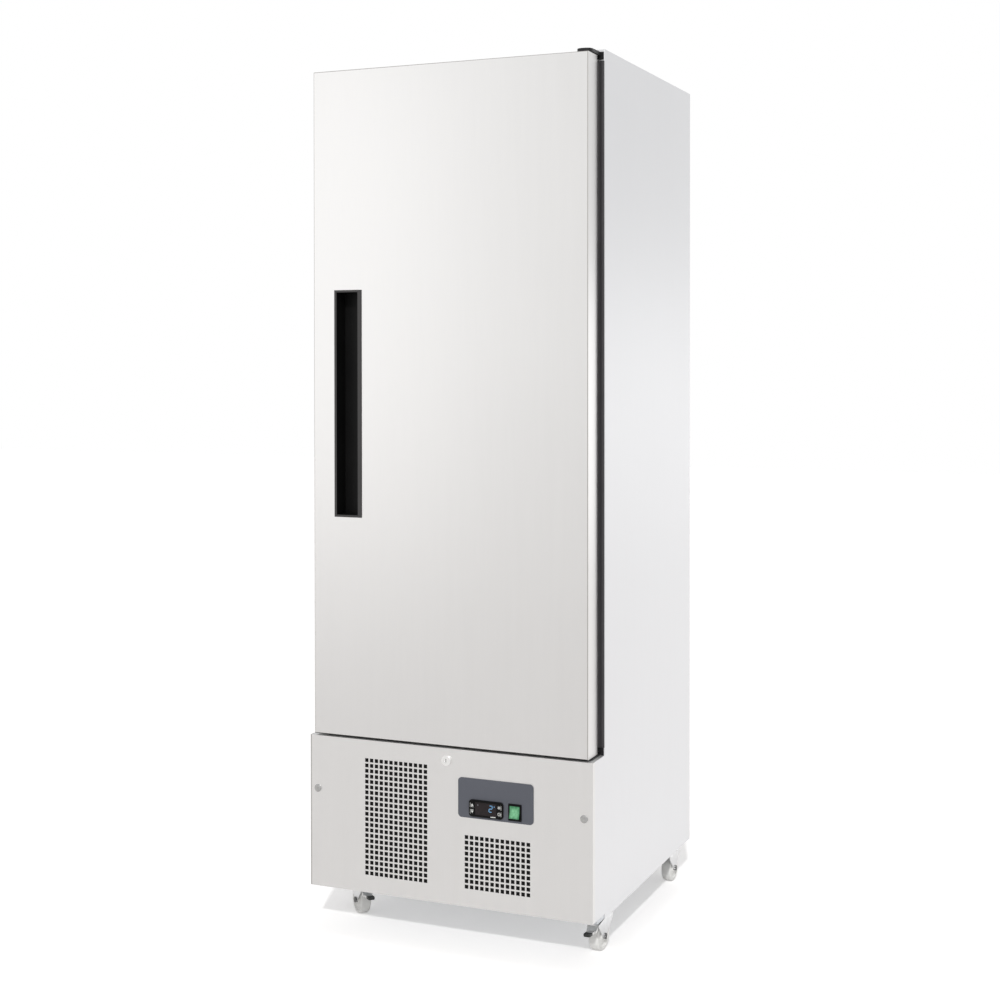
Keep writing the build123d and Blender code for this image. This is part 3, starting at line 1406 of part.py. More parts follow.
# Casters: the mounting plates, ball-race cones and kingpins are bolted under the base pan.
# Each fork turns on its kingpin; the wheel and, at the front, the brake pedal turn in it.
plate_bottom = base_bottom - caster_plate_sheet
race_bottom = plate_bottom - race_height
fork_top = race_bottom - running_gap
web_top = wheel_radius * 2 + hood_clearance + fork_sheet
web_bottom = web_top - fork_sheet
leg_inner = wheel_width / 2 + running_gap
leg_outer = leg_inner + fork_sheet
hood_end = -caster_trail - hood_reach
pivot_y = hood_end + pedal_pivot_inset
hood_fall = hood_drop * (hood_reach - pedal_pivot_inset) / hood_reach
pivot_z = web_bottom - hood_fall - pedal_thickness / 2 - 2 * running_gap
caster_x = half_width - caster_inset_x
caster_ys = {"f": front_y + front_caster_setback, "b": back_y - rear_caster_setback}
casters = (
    ("fr", caster_x, caster_ys["f"], front_right_turn),
    ("fl", -caster_x, caster_ys["f"], front_left_turn),
    ("br", caster_x, caster_ys["b"], back_right_turn),
    ("bl", -caster_x, caster_ys["b"], back_left_turn),
)
with BuildPart() as caster_plates:
    caster_points = [(x, y) for _, x, y, _ in casters]
    with BuildSketch(Plane.XY.offset(plate_bottom)):
        with Locations(*caster_points):
            Rectangle(caster_plate_size, caster_plate_size)
    extrude(amount=caster_plate_sheet)
    with BuildSketch(Plane.XY.offset(race_bottom)):
        with Locations(*caster_points):
            Circle(race_radius)
    extrude(amount=race_height)
    with BuildSketch(Plane.XY.offset(web_bottom - running_gap)):
        with Locations(*caster_points):
            Circle(kingpin_radius)
    extrude(amount=race_bottom - web_bottom + running_gap)
    with BuildSketch(Plane.XY.offset(web_bottom - running_gap - kingpin_head)):
        with Locations(*caster_points):
            Circle(kingpin_head_radius)
    extrude(amount=kingpin_head)
caster_plates.part.label = "caster_plates"
export_step(caster_plates.part, "parts/caster_plates.step")


def caster_fork(with_pedal):
    """A pressed fork that trails towards -Y from its kingpin, with the wheel's axle."""
    with BuildPart() as fork:
        with BuildSketch(Plane.YZ.offset(-leg_outer)):
            with BuildLine():
                Polyline(
                    (fork_heel, web_top),
                    (-caster_trail, web_top),
                    (hood_end, web_top - hood_drop),
                    (hood_end, web_top - hood_drop - hood_rim),
                    (-caster_trail - fork_boss_radius, wheel_radius),
                    (-caster_trail, wheel_radius - fork_boss_radius),
                    (-caster_trail + fork_boss_radius, wheel_radius),
                    (fork_heel, web_top - hood_side),
                    close=True,
                )
            make_face()
        extrude(amount=2 * leg_outer)
        chamfer(fork.edges().filter_by(Axis.X).sort_by(Axis.Z)[0], length=fork_boss_radius / 2)
        with BuildSketch(Plane.YZ.offset(-leg_inner)):
            with BuildLine():
                Polyline(
                    (fork_heel, web_bottom),
                    (-caster_trail, web_bottom),
                    (hood_end, web_bottom - hood_drop),
                    (hood_end, 0),
                    (fork_heel, 0),
                    close=True,
                )
            make_face()
        extrude(amount=2 * leg_inner, mode=Mode.SUBTRACT)
        with BuildSketch(Plane.XY.offset(web_bottom)):
            Circle(crown_radius)
        extrude(amount=fork_top - web_bottom)
        with BuildSketch(Plane.XY.offset(web_bottom)):
            Circle(kingpin_radius + running_clearance)
        extrude(amount=fork_top - web_bottom, mode=Mode.SUBTRACT)
        with BuildSketch(Plane.YZ.offset(-leg_inner)):
            with Locations((-caster_trail, wheel_radius)):
                Circle(axle_radius)
        extrude(amount=2 * leg_inner)
        for side in (-leg_outer - axle_head, leg_outer):
            with BuildSketch(Plane.YZ.offset(side)):
                with Locations((-caster_trail, wheel_radius)):
                    RegularPolygon(axle_nut_radius, hexagon)
            extrude(amount=axle_head)
        if with_pedal:
            with BuildSketch(Plane.YZ.offset(-leg_inner)):
                with Locations((pivot_y, pivot_z)):
                    Circle(pedal_pin_radius)
            extrude(amount=2 * leg_inner)
    return fork.part


def caster_wheel():
    """A moulded wheel about X, bored for the axle."""
    with BuildPart() as wheel:
        with BuildSketch(Plane.YZ.offset(-wheel_width / 2)):
            Circle(wheel_radius)
            Circle(axle_radius + running_clearance, mode=Mode.SUBTRACT)
        extrude(amount=wheel_width)
    return wheel.part


def brake_pedal():
    """A moulded lever on the fork's cross pin, with a narrower toe piece beyond the hood."""
    half = pedal_thickness / 2
    toe_start = pivot_y - pedal_neck
    toe_z = pivot_z - pedal_drop
    lever_half = leg_inner - 2 * running_gap
    with BuildPart() as pedal:
        with BuildSketch(Plane.YZ.offset(-lever_half)):
            with BuildLine():
                Polyline(
                    (pivot_y + half, pivot_z + half),
                    (pivot_y - half, pivot_z + half),
                    (toe_start, toe_z + half),
                    (toe_start, toe_z - half),
                    (pivot_y + half, pivot_z - half),
                    close=True,
                )
            make_face()
            with Locations((pivot_y, pivot_z)):
                Circle(pedal_pin_radius + running_clearance, mode=Mode.SUBTRACT)
        extrude(amount=2 * lever_half)
        toe_y = (toe_start - toe_length, toe_start)
        block((-toe_width / 2, toe_width / 2), toe_y, (toe_z - half, toe_z + half))
        toe_corners = pedal.edges().filter_by(Axis.Z).sort_by(Axis.Y)[:2]
        fillet(toe_corners, radius=toe_width / 3)
    return pedal.part


for corner, x, y, turn in casters:
    with BuildPart() as fork:
        with Locations((x, y)):
            add(caster_fork(corner.startswith("f")), rotation=(0, 0, turn))
    fork.part.label = f"caster_fork_{corner}"
    export_step(fork.part, f"parts/caster_fork_{corner}.step")

    trail = Vector(0, -caster_trail).rotate(Axis.Z, turn)
    with BuildPart() as wheel:
        with Locations((x + trail.X, y + trail.Y, wheel_radius)):
            add(caster_wheel(), rotation=(0, 0, turn))
    wheel.part.label = f"caster_wheel_{corner}"
    export_step(wheel.part, f"parts/caster_wheel_{corner}.step")

    if corner.startswith("f"):
        with BuildPart() as pedal:
            with Locations((x, y)):
                add(brake_pedal(), rotation=(0, 0, turn))
        pedal.part.label = f"brake_pedal_{corner}"
        export_step(pedal.part, f"parts/brake_pedal_{corner}.step")
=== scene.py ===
import json
import math

import bmesh
import bpy
from mathutils import Matrix, Vector


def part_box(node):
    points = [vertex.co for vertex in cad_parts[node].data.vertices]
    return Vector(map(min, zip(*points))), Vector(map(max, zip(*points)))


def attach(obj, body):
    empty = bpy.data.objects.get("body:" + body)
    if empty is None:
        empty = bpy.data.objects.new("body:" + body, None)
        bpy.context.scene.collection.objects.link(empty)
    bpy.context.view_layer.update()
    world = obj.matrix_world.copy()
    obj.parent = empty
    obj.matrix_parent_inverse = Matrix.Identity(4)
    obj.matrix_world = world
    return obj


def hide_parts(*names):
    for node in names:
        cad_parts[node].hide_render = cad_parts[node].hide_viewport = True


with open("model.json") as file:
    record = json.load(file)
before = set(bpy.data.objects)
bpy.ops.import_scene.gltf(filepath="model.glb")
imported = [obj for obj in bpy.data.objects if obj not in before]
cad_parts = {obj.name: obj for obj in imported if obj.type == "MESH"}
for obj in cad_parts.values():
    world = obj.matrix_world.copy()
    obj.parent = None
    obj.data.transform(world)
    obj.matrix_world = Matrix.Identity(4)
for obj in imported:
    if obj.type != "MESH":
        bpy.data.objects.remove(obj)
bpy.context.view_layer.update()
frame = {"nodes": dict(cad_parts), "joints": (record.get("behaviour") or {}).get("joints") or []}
nodes = frame["nodes"]

# Outer shell. The real one is thin stainless sheet with a fine upright brushing, folded into
# two side panels and a top, riveted to the base and held stiff by the foam behind it.
surface_results = ("Tone", "Roughness", "Height")
relief_depth = 0.0002


def new_group(name, inputs, results=surface_results):
    """A shader node group: its tree, its input sockets and its result sockets.

    It takes a place as Vector and the numbers in inputs (name to default).
    """
    group = bpy.data.node_groups.new(name, "ShaderNodeTree")
    group.interface.new_socket("Vector", in_out="INPUT", socket_type="NodeSocketVector")
    for label, value in inputs.items():
        socket = group.interface.new_socket(label, in_out="INPUT", socket_type="NodeSocketFloat")
        socket.default_value = value
    for label in results:
        group.interface.new_socket(label, in_out="OUTPUT", socket_type="NodeSocketFloat")
    taken = group.nodes.new("NodeGroupInput")
    given = group.nodes.new("NodeGroupOutput")
    return group, taken.outputs, given.inputs


def feed(tree, value, socket):
    """Links a node's output to an input, or sets the input to a plain value."""
    if isinstance(value, bpy.types.NodeSocket):
        tree.links.new(value, socket)
    else:
        socket.default_value = value


def stretched(tree, place, share):
    """A place whose Z is multiplied by a share, which draws a pattern out along Z."""
    node = tree.nodes.new("ShaderNodeVectorMath")
    node.operation = "MULTIPLY"
    node.inputs[1].default_value = (1.0, 1.0, share)
    tree.links.new(place, node.inputs[0])
    return node.outputs["Vector"]


def noise_in(tree, place, scale, detail):
    """A noise over a place; its scale is a plain number or one of the group's inputs."""
    node = tree.nodes.new("ShaderNodeTexNoise")
    node.inputs["Detail"].default_value = detail
    feed(tree, scale, node.inputs["Scale"])
    tree.links.new(place, node.inputs["Vector"])
    return node.outputs["Fac"]


def number(tree, operation, *values):
    """The result of a math node that is fed by sockets or by plain numbers."""
    node = tree.nodes.new("ShaderNodeMath")
    node.operation = operation
    for value, socket in zip(values, node.inputs):
        feed(tree, value, socket)
    return node.outputs[0]


def blend_of(tree, *shares):
    """The weighted sum of several values, from pairs of a value and its share."""
    total = 0.0
    for value, share in shares:
        total = number(tree, "ADD", number(tree, "MULTIPLY", value, share), total)
    return total


def mixed(tree, mask, colour, other_colour):
    """One colour where a mask is 0 and the other where it is 1; each a socket or (r, g, b)."""
    node = tree.nodes.new("ShaderNodeMix")
    node.data_type = "RGBA"
    tree.links.new(mask, node.inputs["Factor"])
    for label, end in (("A", colour), ("B", other_colour)):
        feed(tree, (*end, 1.0) if isinstance(end, tuple) else end, node.inputs[label])
    return node.outputs["Result"]


def give(group, given, **results):
    """Links a group's results to its result sockets, by name."""
    for label, result in results.items():
        group.links.new(result, given[label])


def set_in(tree, group, place, **values):
    """Places a group in a material with its own values, and returns its results."""
    node = tree.nodes.new("ShaderNodeGroup")
    node.node_tree = group
    for label, value in values.items():
        node.inputs[label].default_value = value
    tree.links.new(place, node.inputs["Vector"])
    return node.outputs


def object_place(tree):
    """The place of a surface point in the frame."""
    return tree.nodes.new("ShaderNodeTexCoord").outputs["Object"]


def shaded(name, group, colours, rough, bump, metallic=0.0, specular=0.5, turn=0.0, **sizes):
    """A material whose tone, roughness and relief come from one of the surface groups.

    colours and rough each hold their low and high end; turn rotates the pattern about X, in
    degrees, and sizes are the group's own values.
    """
    material = bpy.data.materials.new(name)
    material.use_nodes = True
    tree = material.node_tree
    shader = tree.nodes["Principled BSDF"].inputs
    shader["Metallic"].default_value = metallic
    shader["Specular IOR Level"].default_value = specular
    turned_place = tree.nodes.new("ShaderNodeMapping")
    turned_place.inputs["Rotation"].default_value = (math.radians(turn), 0.0, 0.0)
    tree.links.new(object_place(tree), turned_place.inputs["Vector"])
    surface = set_in(tree, group, turned_place.outputs["Vector"], **sizes)
    tree.links.new(mixed(tree, surface["Tone"], *colours), shader["Base Color"])
    dullness = tree.nodes.new("ShaderNodeMapRange")
    dullness.inputs["To Min"].default_value = rough[0]
    dullness.inputs["To Max"].default_value = rough[1]
    tree.links.new(surface["Roughness"], dullness.inputs["Value"])
    tree.links.new(dullness.outputs["Result"], shader["Roughness"])
    relief = tree.nodes.new("ShaderNodeBump")
    relief.inputs["Strength"].default_value = bump
    relief.inputs["Distance"].default_value = relief_depth
    tree.links.new(surface["Height"], relief.inputs["Height"])
    tree.links.new(relief.outputs["Normal"], shader["Normal"])
    return material


def dress(material, slot_name, *names, crease=30.0):
    """Gives CAD nodes their material and smooth shading over their round stretches."""
    for name in names:
        piece = nodes[name]
        piece.data.materials.clear()
        piece.data.materials.append(material)
        piece.data.polygons.foreach_set("material_index", [0] * len(piece.data.polygons))
        piece.data.shade_smooth()
        piece.data.set_sharp_from_angle(angle=math.radians(crease))


def dress_faces(name, material, chosen):
    """Gives another material to those faces of a CAD node for which chosen(face) is true."""
    mesh = nodes[name].data
    mesh.materials.append(material)
    for face in mesh.polygons:
        if chosen(face):
            face.material_index = len(mesh.materials) - 1


# Brushing: hair-fine streaks along Z, broader belts of them, and the slow drift of tone that
# the rollers leave in the sheet.
streak_stretch = 0.012
belt_stretch = 0.04
brushing, brushing_in, brushing_out = new_group(
    "brushed_grain", {"Streaks": 900.0, "Belts": 60.0, "Cloud": 2.5}
)
sheet_place = brushing_in["Vector"]
streak_place = stretched(brushing, sheet_place, streak_stretch)
streaks = noise_in(brushing, streak_place, brushing_in["Streaks"], detail=2.0)
belt_place = stretched(brushing, sheet_place, belt_stretch)
belts = noise_in(brushing, belt_place, brushing_in["Belts"], detail=3.0)
drift = noise_in(brushing, sheet_place, brushing_in["Cloud"], detail=1.0)
give(
    brushing,
    brushing_out,
    Tone=blend_of(brushing, (streaks, 0.35), (belts, 0.30), (drift, 0.35)),
    Roughness=blend_of(brushing, (belts, 0.5), (drift, 0.5)),
    Height=streaks,
)


def brushed(name, colours, rough, bump=0.05, turn=0.0, streaks=900.0):
    """Brushed steel sheet, with upright streaks unless a turn lays them along Y."""
    return shaded(name, brushing, colours, rough, bump, metallic=1.0, turn=turn, Streaks=streaks)


shell_colours = ((0.655, 0.657, 0.668), (0.725, 0.727, 0.738))
shell_rough = (0.38, 0.48)
side_steel = brushed("side_steel", shell_colours, shell_rough, streaks=1100.0)
dress(side_steel, "stainless", "side_panel_left", "side_panel_right")
top_steel = brushed("top_steel", shell_colours, shell_rough, turn=90.0)
dress(top_steel, "stainless", "top_panel")

# Edge trim. Black vinyl strips, extruded with a shallow groove, lie on the front returns of the side panels;
# their black is painted shade, standing in for the shade on the returns behind the door's edge.
peel, peel_in, peel_out = new_group("moulded_peel", {"Peel": 400.0})
pits = noise_in(peel, peel_in["Vector"], peel_in["Peel"], detail=3.0)
broad_pits = noise_in(peel, peel_in["Vector"], scale=14.0, detail=2.0)
peel_tone = blend_of(peel, (pits, 0.35), (broad_pits, 0.65))
give(peel, peel_out, Tone=peel_tone, Roughness=broad_pits, Height=pits)


def moulded(name, colours, rough, bump, specular=0.5, pitting=400.0):
    """Moulded or coated stuff with a faint orange-peel; pitting is how fine the peel is."""
    return shaded(name, peel, colours, rough, bump, specular=specular, Peel=pitting)


def prism(solid, outline, start, end, place):
    """Adds a bar to a mesh: an outline of (across, up) points, carried from start to end.

    place turns (across, up, along) into a point of the frame.
    """
    ends = [[solid.verts.new(place(across, up, stop)) for across, up in outline] for stop in (start, end)]
    for index in range(len(outline)):
        follow = (index + 1) % len(outline)
        solid.faces.new((ends[0][index], ends[0][follow], ends[1][follow], ends[1][index]))
    solid.faces.new(ends[0])
    solid.faces.new(ends[1])


weld_distance = 1e-7


def finished(name, solid, material, body, crease=30.0):
    """Makes a piece from a mesh, with its material, and lets it ride on its body."""
    bmesh.ops.remove_doubles(solid, verts=solid.verts, dist=weld_distance)
    bmesh.ops.recalc_face_normals(solid, faces=solid.faces)
    mesh = bpy.data.meshes.new(name)
    solid.to_mesh(mesh)
    solid.free()
    mesh.materials.append(material)
    mesh.shade_smooth()
    mesh.set_sharp_from_angle(angle=math.radians(crease))
    piece = bpy.data.objects.new(name, mesh)
    bpy.context.scene.collection.objects.link(piece)
    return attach(piece, body)


# Near-black: painted shade on the front returns beside the door.
trim_shade_black = moulded(
    "trim_shade_black",
    ((0.038, 0.036, 0.039), (0.056, 0.053, 0.057)),
    rough=(0.32, 0.48),
    bump=0.2,
    pitting=900.0,
)
face_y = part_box("top_panel")[0].y
shell_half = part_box("side_panel_right")[1].x
deck_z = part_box("deck_panel")[1].z
trim_gap = 0.0008
trim_width = 0.0225
trim_thickness = 0.0011
trim_lip = 0.6 * trim_thickness
trim_chamfer = 0.05 * trim_width
groove_middle = trim_width / 2
groove_half = 0.003
groove_floor_half = 0.7 * groove_half
top_fold_height = 0.0245
hinge_foot_height = 0.016
trim_lift = 0.0003
trim_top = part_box("top_panel")[1].z - top_fold_height
trim_bottoms = {-1: deck_z + trim_lift, 1: deck_z + hinge_foot_height + trim_lift}
trim_outline = (
    (0.0, 0.0),
    (0.0, trim_lip),
    (trim_chamfer, trim_thickness),
    (groove_middle - groove_half, trim_thickness),
    (groove_middle - groove_floor_half, trim_lip),
    (groove_middle + groove_floor_half, trim_lip),
    (groove_middle + groove_half, trim_thickness),
    (trim_width - trim_chamfer, trim_thickness),
    (trim_width, trim_lip),
    (trim_width, 0.0),
)
for side, side_name in ((-1, "left"), (1, "right")):
    trim = bmesh.new()
    prism(
        trim,
        trim_outline,
        trim_bottoms[side],
        trim_top,
        lambda across, up, along: (side * (shell_half - trim_gap - across), face_y - up, along),
    )
    finished(f"shade_trim_{side_name}", trim, trim_shade_black, "cabinet")

# Back, base and deck. The back, the vent panel and the base are galvanised sheet, left plain
# with the zinc's soft crystal pattern; the deck between the side panels is brushed smooth.
spangle, spangle_in, spangle_out = new_group("zinc_spangle", {"Crystals": 60.0})
crystal = spangle.nodes.new("ShaderNodeTexVoronoi")
crystal.distance = "MANHATTAN"
spangle.links.new(spangle_in["Vector"], crystal.inputs["Vector"])
spangle.links.new(spangle_in["Crystals"], crystal.inputs["Scale"])
crystal_tone = spangle.nodes.new("ShaderNodeSeparateColor")
spangle.links.new(crystal.outputs["Color"], crystal_tone.inputs["Color"])
give(
    spangle,
    spangle_out,
    Tone=crystal_tone.outputs["Red"],
    Roughness=crystal_tone.outputs["Green"],
    Height=crystal.outputs["Distance"],
)
zinc_sheet = shaded(
    "zinc_sheet",
    spangle,
    ((0.54, 0.56, 0.58), (0.64, 0.66, 0.68)),
    rough=(0.34, 0.5),
    bump=0.05,
    metallic=1.0,
)
dress(zinc_sheet, "galvanised", "back_panel", "rear_vent_panel", "base_frame", "condenser_shroud")


def greys(low, high):
    """Two neutral colours, as the low and high end of a tone."""
    return (low, low, low), (high, high, high)


ledge_steel = brushed("ledge_steel", greys(0.60, 0.70), rough=(0.5, 0.6), turn=90.0)
dress(ledge_steel, "galvanised", "deck_panel")

# Foam in the walls and the door. It is rigid polyurethane, poured in between the sheets,
# cream, with small open cells where it shows at a cut.
cells, cells_in, cells_out = new_group("foam_cells", {"Cells": 700.0})
cell = cells.nodes.new("ShaderNodeTexVoronoi")
cells.links.new(cells_in["Vector"], cell.inputs["Vector"])
cells.links.new(cells_in["Cells"], cell.inputs["Scale"])
cell_depth = cell.outputs["Distance"]
give(cells, cells_out, Tone=cell_depth, Roughness=cell_depth, Height=cell_depth)
foam = shaded("foam", cells, ((0.80, 0.72, 0.50), (0.92, 0.86, 0.66)), rough=(0.8, 0.95), bump=0.4)
dress(foam, "foam", "wall_insulation", "door_insulation")

# Cold compartment. The liner is one folded stainless box; slotted uprights stand on its
# walls and carry angled runners, and the evaporator's cover hangs under the ceiling.
liner_steel = brushed("liner_steel", ((0.62, 0.63, 0.64), (0.71, 0.72, 0.73)), rough=(0.40, 0.52))
dress(liner_steel, "stainless", "inner_liner", "shelf_uprights", "shelf_runners", "evaporator_cover")

# Shelves. Each is a frame of bright round rod with its corners bent round, thinner wires
# welded across its top and one brace under them; it lies loose on a pair of runners.
plated, plated_in, plated_out = new_group("plated_metal", {"Mottle": 90.0})
mottle = noise_in(plated, plated_in["Vector"], plated_in["Mottle"], detail=4.0)
fine_grain = noise_in(plated, plated_in["Vector"], scale=700.0, detail=2.0)
give(plated, plated_out, Tone=mottle, Roughness=mottle, Height=fine_grain)


def bare_metal(name, colours, rough, bump, mottling=90.0):
    """Plated, polished or drawn metal; mottling is how fine its cloudiness is."""
    return shaded(name, plated, colours, rough, bump, metallic=1.0, Mottle=mottling)


shelf_metal = bare_metal(
    "shelf_metal", ((0.58, 0.59, 0.60), (0.78, 0.79, 0.80)), rough=(0.16, 0.30), bump=0.04, mottling=160.0
)
frame_rod = 0.006
shelf_wire = 0.003
shelf_corner = 0.012
corner_steps = 5
shelf_wires = 10


def bent_rods(name, rods, radius, material, body):
    """A piece welded or bent from round stock: rods of (points, share of the radius, closed)."""
    curve = bpy.data.curves.new(name, "CURVE")
    curve.dimensions = "3D"
    curve.bevel_depth = radius
    curve.bevel_resolution = 3
    curve.use_fill_caps = True
    for points, share, closed in rods:
        spline = curve.splines.new("POLY")
        spline.points.add(len(points) - 1)
        for point, place in zip(spline.points, points):
            point.co = (*place, 1.0)
            point.radius = share
        spline.use_cyclic_u = closed
    bent = bpy.data.objects.new(name, curve)
    solid = bmesh.new()
    solid.from_mesh(bent.to_mesh())
    bpy.data.objects.remove(bent)
    return finished(name, solid, material, body, crease=45.0)


for level in ("upper", "middle", "lower"):
    node_name = f"shelf_{level}"
    low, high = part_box(node_name)
    inset = frame_rod / 2
    left, right = low.x + inset, high.x - inset
    front, back = low.y + inset, high.y - inset
    rod_z = low.z + inset
    wire_z = high.z - shelf_wire / 2
    turns = (
        (left + shelf_corner, front + shelf_corner, 180),
        (right - shelf_corner, front + shelf_corner, 270),
        (right - shelf_corner, back - shelf_corner, 0),
        (left + shelf_corner, back - shelf_corner, 90),
    )
    outline = []
    for turn_x, turn_y, first in turns:
        for step in range(corner_steps + 1):
            angle = math.radians(first + 90 * step / corner_steps)
            reach_x, reach_y = shelf_corner * math.cos(angle), shelf_corner * math.sin(angle)
            outline.append((turn_x + reach_x, turn_y + reach_y, rod_z))
    brace_y = (front + back) / 2
    rods = [(outline, 1.0, True), (((left, brace_y, rod_z), (right, brace_y, rod_z)), 1.0, False)]
    for wire in range(1, shelf_wires + 1):
        wire_x = left + wire * (right - left) / (shelf_wires + 1)
        rods.append((((wire_x, front, wire_z), (wire_x, back, wire_z)), shelf_wire / frame_rod, False))
    shelf = bent_rods(f"wire_shelf_{level}", rods, frame_rod / 2, shelf_metal, node_name)
    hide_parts(node_name)

# Evaporator and condenser. Both are coils of copper tube expanded into thin aluminium fins,
# held between end plates; the tubes' return bends stick out past the plates.
fin_metal = bare_metal("fin_metal", ((0.46, 0.47, 0.48), (0.62, 0.63, 0.64)), rough=(0.35, 0.5), bump=0.1)
copper = bare_metal("copper", ((0.50, 0.22, 0.12), (0.70, 0.36, 0.22)), rough=(0.25, 0.45), bump=0.1)
fin_thickness = 0.0003
plate_thickness = 0.0015
bend_reach = 0.006
tube_radius = 0.0035


def coil(name, node_name, fin_material, fin_pitch, fin_top, tube_rows, tube_ranks):
    """Stands thin fins, end plates and tubes in place of a coil's plain block."""
    low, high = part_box(node_name)
    fins = bmesh.new()
    plate_left, plate_right = low.x + bend_reach, high.x - bend_reach

    def sheet(middle_x, thickness, top):
        """Adds one fin or end plate, which stands across X."""
        outline = ((low.y, low.z), (high.y, low.z), (high.y, top), (low.y, top))
        start, end = middle_x - thickness / 2, middle_x + thickness / 2
        prism(fins, outline, start, end, lambda across, up, along: (along, across, up))

    fin_count = int((plate_right - plate_left) / fin_pitch)
    spacing = (plate_right - plate_left) / fin_count
    for fin in range(1, fin_count):
        sheet(plate_left + fin * spacing, fin_thickness, fin_top)
    for plate_x in (plate_left, plate_right):
        sheet(plate_x, plate_thickness, high.z)
    block = finished(f"{name}_fins", fins, fin_material, "cabinet")
    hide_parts(node_name)
    runs = []
    pitch_z = (fin_top - low.z) / tube_rows
    pitch_y = (high.y - low.y) / tube_ranks
    bend_ends = (plate_left - bend_reach + tube_radius, plate_right + bend_reach - tube_radius)
    for rank in range(tube_ranks):
        tube_y = low.y + (rank + 0.5) * pitch_y
        run = []
        for row in range(tube_rows):
            tube_z = low.z + (row + 0.5) * pitch_z
            ends = bend_ends if row % 2 == 0 else bend_ends[::-1]
            run += [(end, tube_y, tube_z) for end in ends]
        runs.append((run, 1.0, False))
    bent_rods(f"{name}_tubes", runs, tube_radius, copper, "cabinet")


plate_headroom = 0.014
evaporator_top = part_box("evaporator_coil")[1].z - plate_headroom
evaporator_pitch = 0.0042
coil("evaporator", "evaporator_coil", fin_metal, evaporator_pitch, evaporator_top, 4, 4)
fan_black = moulded(
    "fan_black", ((0.014, 0.014, 0.015), (0.026, 0.026, 0.028)), rough=(0.4, 0.55), bump=0.1, specular=0.35
)
dress(fan_black, "black_plastic", "evaporator_fan")
motor_black = moulded(
    "motor_black",
    ((0.012, 0.012, 0.013), (0.022, 0.022, 0.024)),
    rough=(0.3, 0.42),
    bump=0.2,
    pitting=1200.0,
)
dress(motor_black, "black_metal", "evaporator_fan_motor", "condenser_fan_motor")

# Door skin. One folded pan of brushed stainless sheet with softly rounded front edges; it
# is filled with foam and closed at the back by the liner.
door_steel = brushed(
    "door_steel", ((0.675, 0.668, 0.660), (0.740, 0.733, 0.726)), rough=(0.27, 0.35), streaks=1000.0
)
dress(door_steel, "stainless", "door_skin")
# The rounded folds get a much darker copy of the steel: painted shade and dark reflection along the edges.
fold_painted_shade = brushed("fold_painted_shade", ((0.36, 0.35, 0.33), (0.46, 0.45, 0.43)), rough=(0.38, 0.5), bump=0.08)
flat_enough = 0.98


def is_fold(face):
    """Whether a face lies in the rounded stretch of a folded edge."""
    return max(abs(part) for part in face.normal) < flat_enough


dress_faces("door_skin", fold_painted_shade, is_fold)
# Near-black on the door's bottom fold: painted shade of the gap above the lower panel.
gap_painted_shade = brushed("gap_painted_shade", greys(0.02, 0.05), rough=(0.5, 0.6), bump=0.08)
fold_height = 0.004
door_fold_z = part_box("door_skin")[0].z + fold_height
dress_faces("door_skin", gap_painted_shade, lambda face: is_fold(face) and face.center.z < door_fold_z)

# Door liner. A white plastic sheet, vacuum formed with a raised middle and a groove for
# the gasket; it has the faint orange-peel of the mould.
liner_white = moulded("liner_white", ((0.74, 0.75, 0.74), (0.82, 0.82, 0.81)), rough=(0.35, 0.5), bump=0.1)
dress(liner_white, "white_plastic", "door_liner")

# Gasket. A soft extruded ring of grey vinyl, mitred and welded at the corners: a foot that
# fills the liner's groove, thin bellows, and a bulb with a magnet in it.
gasket_grey = moulded(
    "gasket_grey", ((0.17, 0.175, 0.18), (0.24, 0.245, 0.25)), rough=(0.6, 0.8), bump=0.15, pitting=900.0
)
gasket_width = 0.024
gasket_side = (
    (0.96, 0.00),
    (0.96, 0.15),
    (0.84, 0.19),
    (0.76, 0.30),
    (0.81, 0.40),
    (0.76, 0.50),
    (0.88, 0.60),
    (0.98, 0.70),
    (1.00, 0.83),
    (0.97, 0.95),
    (0.90, 1.00),
)
gasket_profile = gasket_side + tuple((1.0 - across, rise) for across, rise in reversed(gasket_side))
gasket_foot_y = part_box("door_skin")[1].y
gasket_low, gasket_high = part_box("door_gasket")
gasket = bmesh.new()
loops = []
for across, rise in gasket_profile:
    inward = across * gasket_width
    loop_y = gasket_foot_y + rise * (gasket_high.y - gasket_foot_y)
    corners = (
        (gasket_low.x + inward, gasket_low.z + inward),
        (gasket_high.x - inward, gasket_low.z + inward),
        (gasket_high.x - inward, gasket_high.z - inward),
        (gasket_low.x + inward, gasket_high.z - inward),
    )
    loops.append([gasket.verts.new((x, loop_y, z)) for x, z in corners])
for index, loop in enumerate(loops):
    following = loops[(index + 1) % len(loops)]
    for corner in range(4):
        other = (corner + 1) % 4
        gasket.faces.new((loop[corner], loop[other], following[other], following[corner]))
gasket_piece = finished("gasket_ring", gasket, gasket_grey, "door", crease=50.0)
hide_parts("door_gasket")

# Recessed handle. A deep black pocket with a narrow frame, moulded in one piece with a
# fine leather-like grain and let into the door's skin.
# The pocket gets a much darker black than its frame: painted shade in the recess.
pocket_shade_black = moulded(
    "pocket_shade_black", greys(0.003, 0.007), rough=(0.40, 0.55), bump=0.3, specular=0.15, pitting=1500.0
)
dress(pocket_shade_black, "black_plastic", "handle_recess")
frame_black = moulded(
    "frame_black",
    ((0.030, 0.029, 0.029), (0.048, 0.046, 0.046)),
    rough=(0.34, 0.48),
    bump=0.3,
    specular=0.4,
    pitting=1500.0,
)
frame_depth = 0.0032
frame_back_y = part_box("handle_recess")[0].y + frame_depth
dress_faces("handle_recess", frame_black, lambda face: face.center.y < frame_back_y)

